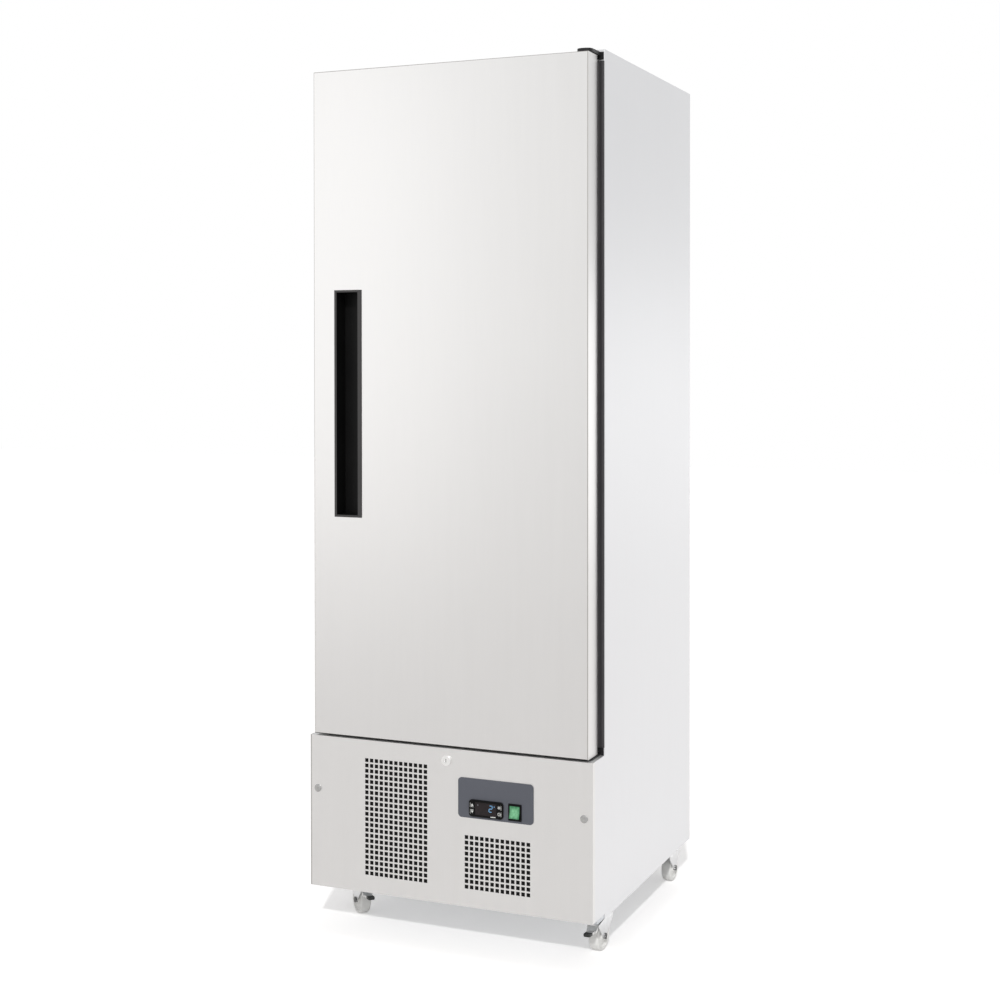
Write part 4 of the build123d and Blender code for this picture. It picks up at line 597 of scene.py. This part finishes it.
# Hinges. Black coated brackets with a steel pin each, turning in plastic bushes in the door:
# the upper one's arm lies over the door, and the lower one is a plate on the deck.
hinge_black = moulded(
    "hinge_black",
    ((0.007, 0.007, 0.008), (0.016, 0.016, 0.017)),
    rough=(0.34, 0.46),
    bump=0.2,
    specular=0.3,
    pitting=1200.0,
)
dress(hinge_black, "black_metal", "hinge_bracket_top", "hinge_bracket_bottom")
bush_black = moulded(
    "bush_black", ((0.012, 0.012, 0.013), (0.024, 0.024, 0.026)), rough=(0.45, 0.6), bump=0.15, specular=0.3
)
dress(bush_black, "black_plastic", "hinge_bushes")

# Lower panel. Folded stainless sheet with two fields of punched square air holes, a little
# warmer and flatter than the door; two dome-headed screws hold it to the side panels.
panel_steel = brushed(
    "panel_steel", ((0.665, 0.657, 0.648), (0.735, 0.727, 0.718)), rough=(0.34, 0.46), streaks=1300.0
)
hole_pitch_x = 0.0121
hole_pitch_z = 0.012
hole_columns = 13
lowest_holes_z = 0.1453
hole_fields = ((-0.1234, 22), (0.1208, 10))
hole_shadow = (0.02, 0.019, 0.018)
hem_edge_x = -0.3362
hem_softness = 0.0006
hem_shade = (0.42, 0.41, 0.41)


def split(tree, place):
    """The X, Y and Z of a place."""
    node = tree.nodes.new("ShaderNodeSeparateXYZ")
    tree.links.new(place, node.inputs["Vector"])
    return node.outputs


def from_nearest(tree, place, pitch):
    """How far a place along a row of holes is from the middle of the nearest hole."""
    past = number(tree, "SUBTRACT", place, number(tree, "ROUND", place))
    return number(tree, "MULTIPLY", number(tree, "ABSOLUTE", past), pitch)


def opened(material):
    """A material's tree, its shader's inputs and the socket that its colour comes from."""
    tree = material.node_tree
    shader = tree.nodes["Principled BSDF"].inputs
    return tree, shader, shader["Base Color"].links[0].from_socket


# A near-black rim round each punched hole: painted shade at the hole edges, which makes the holes look
# larger.
rims, rims_in, rims_out = new_group(
    "hole_rim_painted_shade", {"Middle": 0.0, "Rows": 10.0, "Reach": 0.0042}, ("Shadow",)
)
panel_spot = split(rims, rims_in["Vector"])
column = number(rims, "DIVIDE", number(rims, "SUBTRACT", panel_spot["X"], rims_in["Middle"]), hole_pitch_x)
row = number(rims, "DIVIDE", number(rims, "SUBTRACT", panel_spot["Z"], lowest_holes_z), hole_pitch_z)
aside = from_nearest(rims, column, hole_pitch_x)
above = from_nearest(rims, row, hole_pitch_z)
near_hole = number(rims, "LESS_THAN", number(rims, "MAXIMUM", aside, above), rims_in["Reach"])
in_columns = number(rims, "LESS_THAN", number(rims, "ABSOLUTE", column), hole_columns / 2)
above_lowest = number(rims, "GREATER_THAN", row, -0.5)
below_highest = number(rims, "LESS_THAN", row, number(rims, "SUBTRACT", rims_in["Rows"], 0.5))
in_rows = number(rims, "MULTIPLY", above_lowest, below_highest)
in_field = number(rims, "MULTIPLY", in_columns, in_rows)
give(rims, rims_out, Shadow=number(rims, "MULTIPLY", near_hole, in_field))

# A darker band along the panel's left edge: painted shade and dark reflection on the rounded hem.
hem, hem_in, hem_out = new_group("hem_painted_shade", {"Edge": hem_edge_x, "Softness": hem_softness}, ("Shade",))
past_edge = number(hem, "SUBTRACT", hem_in["Edge"], split(hem, hem_in["Vector"])["X"])
past_edge = number(hem, "DIVIDE", past_edge, hem_in["Softness"])
give(hem, hem_out, Shade=number(hem, "MINIMUM", number(hem, "MAXIMUM", past_edge, 0.0), 1.0))

panel_tree, panel_shader, panel_tone = opened(panel_steel)
panel_place = object_place(panel_tree)
for middle_x, hole_rows in hole_fields:
    rim = set_in(panel_tree, rims, panel_place, Middle=middle_x, Rows=hole_rows)
    panel_tone = mixed(panel_tree, rim["Shadow"], panel_tone, hole_shadow)
panel_hem_shade = set_in(panel_tree, hem, panel_place)
panel_tone = mixed(panel_tree, panel_hem_shade["Shade"], panel_tone, hem_shade)
panel_tree.links.new(panel_tone, panel_shader["Base Color"])
dress(panel_steel, "stainless", "front_panel")
# The panel's left fold gets the darker fold steel: painted shade along that edge.
dress_faces("front_panel", fold_painted_shade, lambda face: is_fold(face) and face.center.x < 0)
# Near-black on the panel's top fold: painted shade of the same gap under the door.
panel_fold_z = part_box("front_panel")[1].z - fold_height
dress_faces("front_panel", gap_painted_shade, lambda face: is_fold(face) and face.center.z > panel_fold_z)
# Near-black on the walls of the holes and of the key slot: painted shade inside them.
wall_painted_shade = bare_metal("wall_painted_shade", greys(0.03, 0.08), rough=(0.5, 0.7), bump=0.1)
largest_cut_edge = 8e-6
wall_tilt = 0.1


def is_hole_wall(face):
    """Whether a face is one of the small walls that a punch leaves round a hole."""
    return face.area < largest_cut_edge and abs(face.normal.y) < wall_tilt


dress_faces("front_panel", wall_painted_shade, is_hole_wall)
screw_metal = bare_metal(
    "screw_metal", ((0.36, 0.36, 0.36), (0.52, 0.52, 0.51)), rough=(0.18, 0.30), bump=0.03, mottling=200.0
)
dress(screw_metal, "chrome", "panel_screws")

# Lock. A polished barrel in the panel's upper edge with a turning plug, whose key slot's walls carry painted
# shade; the zinc plated cam on its tail turns up into the door's lower edge.
polished = bare_metal(
    "polished", ((0.84, 0.84, 0.83), (0.93, 0.93, 0.92)), rough=(0.12, 0.22), bump=0.03, mottling=200.0
)
dress(polished, "chrome", "lock_barrel", "lock_plug")
plug_face_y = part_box("lock_plug")[0].y
slot_rim = 0.0004
slot_reach = 0.0035
slot_half_width = 0.0015


def is_slot_wall(face):
    """Whether a face of the plug lies inside its key slot."""
    depth = face.center.y - plug_face_y
    return slot_rim < depth < slot_reach and abs(face.center.x) < slot_half_width


dress_faces("lock_plug", wall_painted_shade, is_slot_wall)
zinc_plate = bare_metal(
    "zinc_plate",
    ((0.68, 0.685, 0.69), (0.84, 0.845, 0.85)),
    rough=(0.22, 0.40),
    bump=0.08,
)
dress(zinc_plate, "zinc", "lock_cam")

# Filter mats. Black open-cell foam, cut to the two fields of holes with a margin all round and clipped flat
# against the back of the lower panel; their black is painted shade, keeping the holes as dark as the shaded
# machine bay behind them.
shade_foam_black = shaded("shade_foam_black", cells, greys(0.004, 0.012), rough=(0.8, 0.95), bump=0.6, specular=0.1)
mat_margin = 0.010
mat_thickness = 0.004
mat_clearance = 0.0001
mat_rounding = 0.001
panel_sheet = 0.001
panel_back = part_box("front_panel")[0].y + panel_sheet
mat_front, mat_back = panel_back + mat_clearance, panel_back + mat_thickness
mat_low = lowest_holes_z - mat_margin
mat_half = (hole_columns - 1) * hole_pitch_x / 2 + mat_margin


def facing(across, up, along):
    """The place of an outline that is seen from the front and carried back along Y."""
    return across, along, up


for mat_name, (middle_x, hole_rows) in zip(("tall", "short"), hole_fields):
    mat_high = lowest_holes_z + (hole_rows - 1) * hole_pitch_z + mat_margin
    mat_left, mat_right = middle_x - mat_half, middle_x + mat_half
    outline = ((mat_left, mat_low), (mat_right, mat_low), (mat_right, mat_high), (mat_left, mat_high))
    mat = bmesh.new()
    prism(mat, outline, mat_front, mat_back, facing)
    bmesh.ops.bevel(mat, geom=mat.edges, offset=mat_rounding, segments=2, affect="EDGES")
    finished(f"shade_mat_{mat_name}", mat, shade_foam_black, "cabinet")

# Control plate. A slate grey plate with a satin surface and rounded corners, bonded flat on
# the lower panel round the controller and the switch.
slate = moulded(
    "slate",
    ((0.090, 0.096, 0.116), (0.108, 0.114, 0.134)),
    rough=(0.42, 0.55),
    bump=0.08,
    specular=0.3,
    pitting=1100.0,
)
dress(slate, "plate_grey", "control_plate")

# Controller. A black snap-in housing with a smoky window over a blue reading, a small lamp
# and a white tick line, and four soft keys printed with pale symbols.
housing_black = moulded(
    "housing_black", greys(0.002, 0.005), rough=(0.36, 0.48), bump=0.15, specular=0.1, pitting=1800.0
)
dress(housing_black, "black_plastic", "controller_housing", "switch_body")
window_dark = moulded(
    "window_dark",
    ((0.012, 0.008, 0.009), (0.019, 0.013, 0.014)),
    rough=(0.12, 0.20),
    bump=0.01,
    specular=0.25,
)
dress(window_dark, "window", "controller_display")
key_black = moulded("key_black", greys(0.003, 0.008), rough=(0.45, 0.55), bump=0.15, specular=0.15)
dress(key_black, "key_plastic", "key_up", "key_down", "key_set", "key_standby")


def glowing(name, group, colours, strength):
    """A lit print or lens: a surface material whose glow has the same drift of tone."""
    material = shaded(name, group, colours, rough=(0.25, 0.35), bump=0.02)
    tree, shader, tone = opened(material)
    tree.links.new(tone, shader["Emission Color"])
    shader["Emission Strength"].default_value = strength
    return material


def spoke(degrees, length):
    """A flat vector of a given length and direction."""
    return Vector((math.cos(math.radians(degrees)), math.sin(math.radians(degrees)))) * length


def bar_mark(start, end, width):
    """The outline of a bar with pointed ends, as the segment of a display has."""
    first, last = Vector(start), Vector(end)
    along = (last - first).normalized()
    across = Vector((-along.y, along.x)) * width / 2
    tip = along * width / 2
    near_end, far_end = first + tip, last - tip
    return [first, near_end - across, far_end - across, last, far_end + across, near_end + across]


def ring_marks(centre, radius, width, first=0, last=360, steps=16):
    """The outlines of short pieces that make up a ring, or an arc of one, in degrees."""
    inner, outer = radius - width / 2, radius + width / 2
    outlines = []
    for step in range(steps):
        start, end = (first + (last - first) * stop / steps for stop in (step, step + 1))
        corners = ((start, inner), (start, outer), (end, outer), (end, inner))
        outlines.append([Vector(centre) + spoke(degrees, out) for degrees, out in corners])
    return outlines


def printed(name, outlines, front_y, material, body):
    """Thin raised marks on a front face, from outlines of (X, Z) points."""
    marks = bmesh.new()
    for outline in outlines:
        prism(marks, outline, front_y - ink, front_y, facing)
    return finished(name, marks, material, body)


ink = 0.00005
display_low, display_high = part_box("controller_display")
digit_blue = glowing("digit_blue", peel, ((0.07, 0.20, 0.36), (0.14, 0.30, 0.48)), 0.35)
digit_inset = 0.0134
digit_raise = 0.0024
digit_x = display_high.x - digit_inset
digit_z = (display_low.z + display_high.z) / 2 + digit_raise
digit_half_width = 0.0034
digit_half_height = 0.0066
digit_lean = 0.10
segment_width = 0.0019
degree_shift = Vector((0.0084, 0.0054))
degree_radius = 0.0011
degree_width = 0.0007


def digit_point(across, up):
    """A corner of the digit, in half widths and half heights, leaning as displays do."""
    rise = up * digit_half_height
    return (digit_x + across * digit_half_width + digit_lean * rise, digit_z + rise)


digit_path = ((-1, 1), (1, 1), (1, 0), (-1, 0), (-1, -1), (1, -1))
digit = [
    bar_mark(digit_point(*start), digit_point(*end), segment_width)
    for start, end in zip(digit_path, digit_path[1:])
]
digit += ring_marks(Vector((digit_x, digit_z)) + degree_shift, degree_radius, degree_width)
printed("display_digit", digit, display_low.y, digit_blue, "cabinet")
lamp_grey = glowing("lamp_grey", peel, ((0.10, 0.10, 0.11), (0.16, 0.16, 0.17)), 0.15)
lamp_inset = 0.0065
lamp_drop = 0.0055
lamp_radius = 0.0007
lamp_place = (display_low.x + lamp_inset, display_high.z - lamp_drop)
lamp = ring_marks(lamp_place, lamp_radius, 2 * lamp_radius, steps=12)
printed("display_lamp", lamp, display_low.y, lamp_grey, "cabinet")

print_white = moulded("print_white", ((0.66, 0.67, 0.65), (0.80, 0.81, 0.79)), rough=(0.5, 0.6), bump=0.05)
housing_face_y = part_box("controller_housing")[0].y
tick_width = 0.0017
tick_length = 0.0128
tick_inset = 0.0012
tick_drop = 0.0014
tick_end = Vector((display_high.x - tick_inset, display_low.z - tick_drop))
tick_line = [bar_mark(tick_end - Vector((tick_length, 0)), tick_end, tick_width)]
printed("housing_tick", tick_line, housing_face_y, print_white, "cabinet")

stroke = 0.0010
bold_stroke = 0.0011
arrow_half = 0.0030
arrow_foot = 0.0018
arrow_tip = 0.0034
arrow_rule = 0.0038
standby_radius = 0.0030
standby_arc = (125, 415)
standby_stem = 0.0044
flake_arm = 0.0039
flake_turns = (30, 90, 150)


def key_symbols(kind, x, z):
    """The pale symbol of one key, round its middle."""
    if kind in ("key_up", "key_down"):
        rise = 1 if kind == "key_up" else -1
        foot_z, tip_z, rule_z = z - rise * arrow_foot, z + rise * arrow_tip, z - rise * arrow_rule
        arrow = [(x - arrow_half, foot_z), (x + arrow_half, foot_z), (x, tip_z)]
        return [arrow, bar_mark((x - arrow_half, rule_z), (x + arrow_half, rule_z), stroke)]
    if kind == "key_standby":
        stem = bar_mark((x, z), (x, z + standby_stem), bold_stroke)
        return ring_marks((x, z), standby_radius, stroke, *standby_arc) + [stem]
    middle = Vector((x, z))
    arms = [spoke(turn, flake_arm) for turn in flake_turns]
    return [bar_mark(middle - arm, middle + arm, bold_stroke) for arm in arms]


symbol_shift = 0.0008
rule_shift = 0.0039
rule_reach = 0.0051
rule_width = 0.0007
display_middle_x = (display_low.x + display_high.x) / 2
for key_name in ("key_up", "key_down", "key_set", "key_standby"):
    low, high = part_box(key_name)
    middle_x, middle_z = (low.x + high.x) / 2, (low.z + high.z) / 2
    rule_side = -1 if middle_x < display_middle_x else 1
    rule_x = middle_x + rule_side * rule_shift
    symbol = key_symbols(key_name, middle_x - rule_side * symbol_shift, middle_z)
    symbol.append(bar_mark((rule_x, middle_z - rule_reach), (rule_x, middle_z + rule_reach), rule_width))
    printed(f"{key_name}_symbol", symbol, low.y, print_white, key_name)

# Rocker switch. A translucent green double wedge with a lamp behind its middle, moulded
# with fine ribs inside, in a black snap-in frame.
lens_low, lens_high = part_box("power_rocker")
lens_middle = (lens_low + lens_high) / 2
lens_half = (lens_high - lens_low) / 2
rim_falloff = 2.5
rib_gain = 1.4
rib_stretch = 0.35
lens, lens_in, lens_out = new_group("lamp_behind_lens", {"Ribs": 420.0})
lens_spot = split(lens, lens_in["Vector"])
lens_aside = number(lens, "ABSOLUTE", number(lens, "SUBTRACT", lens_spot["X"], lens_middle.x))
lens_aside = number(lens, "DIVIDE", lens_aside, lens_half.x)
lens_above = number(lens, "ABSOLUTE", number(lens, "SUBTRACT", lens_spot["Z"], lens_middle.z))
lens_above = number(lens, "DIVIDE", lens_above, lens_half.z)
lens_rim = number(lens, "POWER", number(lens, "MAXIMUM", lens_aside, lens_above), rim_falloff)
lens_ribs = noise_in(lens, stretched(lens, lens_in["Vector"], rib_stretch), lens_in["Ribs"], detail=2.0)
lens_light = number(lens, "SUBTRACT", number(lens, "MULTIPLY", lens_ribs, rib_gain), lens_rim)
give(lens, lens_out, Tone=number(lens, "MAXIMUM", lens_light, 0.0), Roughness=lens_ribs, Height=lens_ribs)
rocker_green = glowing("rocker_green", lens, ((0.03, 0.17, 0.07), (0.20, 0.50, 0.27)), 0.16)
dress(rocker_green, "green_lens", "power_rocker")
# The rocker's flanks get a much darker green: painted shade on its sides.
flank_shade_green = shaded(
    "flank_shade_green",
    lens,
    ((0.004, 0.05, 0.018), (0.01, 0.10, 0.035)),
    rough=(0.25, 0.4),
    bump=0.05,
)
flank_tilt = 0.5
dress_faces("power_rocker", flank_shade_green, lambda face: abs(face.normal.y) < flank_tilt)

# Condensing unit. A black enamelled compressor on rubber feet, the condenser with its fan
# in a galvanised shroud, copper lines, and a drip tray that its warmth dries.
# The condenser's fins are near-black: painted shade, standing in for the dark machine bay seen through the
# holes.
shade_black_fins = shaded(
    "shade_black_fins",
    plated,
    ((0.015, 0.015, 0.016), (0.03, 0.03, 0.032)),
    rough=(0.45, 0.6),
    bump=0.1,
    specular=0.3,
)
condenser_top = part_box("condenser_coil")[1].z
condenser_pitch = 0.0024
coil("condenser", "condenser_coil", shade_black_fins, condenser_pitch, condenser_top, 10, 2)
dress(fin_metal, "aluminium", "condenser_fan")
dress(copper, "copper", "refrigerant_pipes")
enamel = moulded("enamel", ((0.010, 0.010, 0.011), (0.020, 0.020, 0.022)), rough=(0.18, 0.3), bump=0.15)
dress(enamel, "black_enamel", "compressor")
foot_rubber = moulded("foot_rubber", greys(0.016, 0.03), rough=(0.7, 0.85), bump=0.2)
dress(foot_rubber, "black_rubber", "compressor_grommets")
dress(bush_black, "black_plastic", "evaporation_tray", "cable_gland")

# Caster plates and forks. Bright zinc plated pressings: each fork swivels on a ball race
# under a plate that four hexagon bolts hold to the base, and a dark rivet is its axle.
wheel_corners = ("fr", "fl", "br", "bl")
dress(zinc_plate, "zinc", "caster_plates", *(f"caster_fork_{corner}" for corner in wheel_corners))
rivet_dark = bare_metal("rivet_dark", greys(0.10, 0.18), rough=(0.4, 0.55), bump=0.1)
rivet_reach = 0.0062
joint_axes = {joint["child"]: joint["axis"] for joint in frame["joints"]}


def off_axle(place, centre, axle):
    """How far a place is from the line of an axle."""
    offset = place - centre
    return (offset - axle * offset.dot(axle)).length


wheel_boxes = {corner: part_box(f"caster_wheel_{corner}") for corner in wheel_corners}
for corner, (low, high) in wheel_boxes.items():
    centre = (low + high) / 2
    axle = Vector(joint_axes[f"wheel_{corner}"])
    dress_faces(
        f"caster_fork_{corner}",
        rivet_dark,
        lambda face: off_axle(face.center, centre, axle) < rivet_reach,
    )

bolt_radius = 0.0055
bolt_rise = 0.0035
bolt_inset = 0.008
plate_size = 0.060
plate_sheet = 0.0025
plates_low, plates_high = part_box("caster_plates")
bolt_face = plates_high.z - plate_sheet
hexagon = [spoke(turn, bolt_radius) for turn in range(0, 360, 60)]
bolt_shifts = (bolt_inset, plate_size - bolt_inset)
bolt_xs = [edge + shift for edge in (plates_low.x, plates_high.x - plate_size) for shift in bolt_shifts]
bolt_ys = [edge + shift for edge in (plates_low.y, plates_high.y - plate_size) for shift in bolt_shifts]
bolts = bmesh.new()
for bolt_x in bolt_xs:
    for bolt_y in bolt_ys:
        prism(
            bolts,
            hexagon,
            bolt_face - bolt_rise,
            bolt_face,
            lambda across, up, along: (bolt_x + across, bolt_y + up, along),
        )
finished("caster_bolts", bolts, zinc_plate, "cabinet")

# Brake pedals. Zinc plated levers on the front pair of casters; their toes are dipped in
# black plastic from a fixed reach out from the pivot.
dipped, dipped_in, dipped_out = new_group(
    "dipped_toe", {"Pivot_X": 0.0, "Pivot_Y": 0.0, "Reach": 0.024}, ("Toe",)
)
pedal_spot = split(dipped, dipped_in["Vector"])
toe_x = number(dipped, "SUBTRACT", pedal_spot["X"], dipped_in["Pivot_X"])
toe_y = number(dipped, "SUBTRACT", pedal_spot["Y"], dipped_in["Pivot_Y"])
toe_x_squared = number(dipped, "MULTIPLY", toe_x, toe_x)
toe_y_squared = number(dipped, "MULTIPLY", toe_y, toe_y)
toe_distance = number(dipped, "SQRT", number(dipped, "ADD", toe_x_squared, toe_y_squared))
give(dipped, dipped_out, Toe=number(dipped, "GREATER_THAN", toe_distance, dipped_in["Reach"]))
toe_black = (0.03, 0.032, 0.03)
pivots = {joint["child"]: joint["pos_m"] for joint in frame["joints"] if "pos_m" in joint}
for corner in ("fr", "fl"):
    pedal_steel = bare_metal(
        f"pedal_{corner}", ((0.72, 0.72, 0.71), (0.86, 0.86, 0.85)), rough=(0.40, 0.55), bump=0.08
    )
    pedal_tree, pedal_shader, pedal_tone = opened(pedal_steel)
    pivot_x, pivot_y = pivots[f"pedal_{corner}"][:2]
    pedal = set_in(pedal_tree, dipped, object_place(pedal_tree), Pivot_X=pivot_x, Pivot_Y=pivot_y)
    pedal_tree.links.new(mixed(pedal_tree, pedal["Toe"], pedal_tone, toe_black), pedal_shader["Base Color"])
    pedal_tree.links.new(number(pedal_tree, "SUBTRACT", 1.0, pedal["Toe"]), pedal_shader["Metallic"])
    dress(pedal_steel, "black_plastic", f"brake_pedal_{corner}")

# Caster wheels. Solid white nylon, moulded with a hub, a thin web and a crowned tread, and
# turning freely on the fork's rivet.
nylon = moulded("nylon", ((0.80, 0.80, 0.78), (0.88, 0.88, 0.86)), rough=(0.35, 0.5), bump=0.12)


def turned(solid, profile, centre, axis, steps):
    """Turns a closed profile of (distance from the axis, place along it) round an axis."""
    along = Vector(axis).normalized()
    first_out = along.orthogonal().normalized()
    rings = []
    for step in range(steps):
        out = Matrix.Rotation(2 * math.pi * step / steps, 3, along) @ first_out
        rings.append([solid.verts.new(centre + out * radius + along * rise) for radius, rise in profile])
    for step, ring in enumerate(rings):
        following = rings[(step + 1) % steps]
        for index in range(len(profile)):
            follow = (index + 1) % len(profile)
            solid.faces.new((ring[index], following[index], following[follow], ring[follow]))


wheel_side = (
    (0.131, 1.00),
    (0.30, 1.00),
    (0.33, 0.93),
    (0.37, 0.70),
    (0.68, 0.62),
    (0.75, 0.72),
    (0.79, 0.93),
    (0.84, 0.985),
    (0.91, 0.985),
    (0.965, 0.90),
    (0.99, 0.74),
    (1.00, 0.55),
)
half_tread = 0.012
wheel_steps = 64
for corner, (low, high) in wheel_boxes.items():
    centre = (low + high) / 2
    wheel_radius = (high.z - low.z) / 2
    near = [(out * wheel_radius, -across * half_tread) for out, across in wheel_side]
    far = [(out * wheel_radius, across * half_tread) for out, across in reversed(wheel_side)]
    wheel = bmesh.new()
    turned(wheel, near + far, centre, joint_axes[f"wheel_{corner}"], wheel_steps)
    wheel_piece = finished(f"nylon_wheel_{corner}", wheel, nylon, f"wheel_{corner}")
    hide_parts(f"caster_wheel_{corner}")

# Studio. A white floor keeps the cabinet's shadow under an even white surround; three soft
# lamps light the door and the right side, one of them from the ground, and a far lamp above
# the front throws the shadow.
floor_white = bpy.data.materials.new("floor_white")
floor_white.use_nodes = True
floor_tree = floor_white.node_tree
floor_shader = floor_tree.nodes["Principled BSDF"].inputs
floor_shader["Base Color"].default_value = (0.905, 0.895, 0.89, 1.0)
floor_shader["Roughness"].default_value = 1.0
floor_shader["Specular IOR Level"].default_value = 0.0
floor_shader["Emission Color"].default_value = (1.0, 1.0, 1.0, 1.0)
seen_glow = 0.36
mirrored_glow = 0.15


def ray_masks(tree):
    """Two masks: what the camera sees itself, and what it sees in metal or through glass."""
    rays = tree.nodes.new("ShaderNodeLightPath").outputs
    return rays["Is Camera Ray"], number(tree, "MAXIMUM", rays["Is Glossy Ray"], rays["Is Transmission Ray"])


floor_seen, floor_mirrored = ray_masks(floor_tree)
floor_glow = blend_of(floor_tree, (floor_seen, seen_glow), (floor_mirrored, mirrored_glow))
floor_tree.links.new(floor_glow, floor_shader["Emission Strength"])
floor_size = 30.0
bpy.ops.mesh.primitive_plane_add(size=floor_size, location=(0, 0, 0))
floor = bpy.context.object
floor.name = "studio_floor"
floor.data.materials.append(floor_white)

world = bpy.data.worlds.new("studio")
bpy.context.scene.world = world
world.use_nodes = True
sky = world.node_tree
white = (1.0, 1.0, 1.0)
surround_light = (0.50, 0.494, 0.49)
sky_mask = number(sky, "MAXIMUM", *ray_masks(sky))
sky.links.new(mixed(sky, sky_mask, surround_light, white), sky.nodes["Background"].inputs["Color"])


def soft_lamp(name, place, aim, size, power):
    """An area lamp (width and height) that points at a place and doesn't show itself."""
    data = bpy.data.lights.new(name, "AREA")
    data.shape = "RECTANGLE"
    data.size, data.size_y = size
    data.energy = power
    lamp = bpy.data.objects.new(name, data)
    bpy.context.scene.collection.objects.link(lamp)
    lamp.location = place
    lamp.rotation_euler = (Vector(aim) - Vector(place)).to_track_quat("-Z", "Y").to_euler()
    lamp.visible_camera = False


soft_lamp("door_lamp", place=(-2.75, -4.5, 1.8), aim=(0, -0.35, 1.4), size=(1.4, 3.2), power=8.4)
soft_lamp("side_lamp", place=(2.7, 5.3, 0.9), aim=(0.34, 0.0, 0.8), size=(1.6, 1.6), power=7.0)
soft_lamp("floor_lamp", place=(1.6, 2.3, 0.004), aim=(1.6, 2.3, 1.0), size=(2.4, 5.4), power=13.0)
ceiling_lamp = bpy.data.lights.new("ceiling_lamp", "SUN")
ceiling_lamp.energy = 1.5
ceiling_lamp.angle = math.radians(2.5)
far_lamp = bpy.data.objects.new("ceiling_lamp", ceiling_lamp)
bpy.context.scene.collection.objects.link(far_lamp)
far_lamp.location = (1.3, -3.8, 3.0)
far_lamp.rotation_euler = Vector((-0.44, 1.27, -1.0)).to_track_quat("-Z", "Y").to_euler()

# Camera. It stands to the right of the front at about two thirds of the cabinet's height,
# turned, shifted and at the focal length that the photograph's corners ask for.
camera_data = bpy.data.cameras.new("photo_camera")
camera = bpy.data.objects.new("photo_camera", camera_data)
bpy.context.scene.collection.objects.link(camera)
camera_data.sensor_width = 36.0
camera_data.lens = 57.493
camera_data.shift_x = -0.025
camera_data.shift_y = -0.1215
camera_data.clip_end = 100.0
camera_place = (1.49619, -3.48716, 1.28782)
turn, pitch, roll = 0.395548, -0.011508, 0.000515
aim = Matrix.Rotation(turn, 3, "Z") @ Matrix.Rotation(pitch, 3, "X") @ Matrix.Rotation(roll, 3, "Y")
right, forward, up = aim.col[0], aim.col[1], aim.col[2]
camera.matrix_world = Matrix.Translation(camera_place) @ Matrix((right, up, -forward)).transposed().to_4x4()
bpy.context.scene.camera = camera
bpy.context.scene.view_settings.view_transform = "Standard"
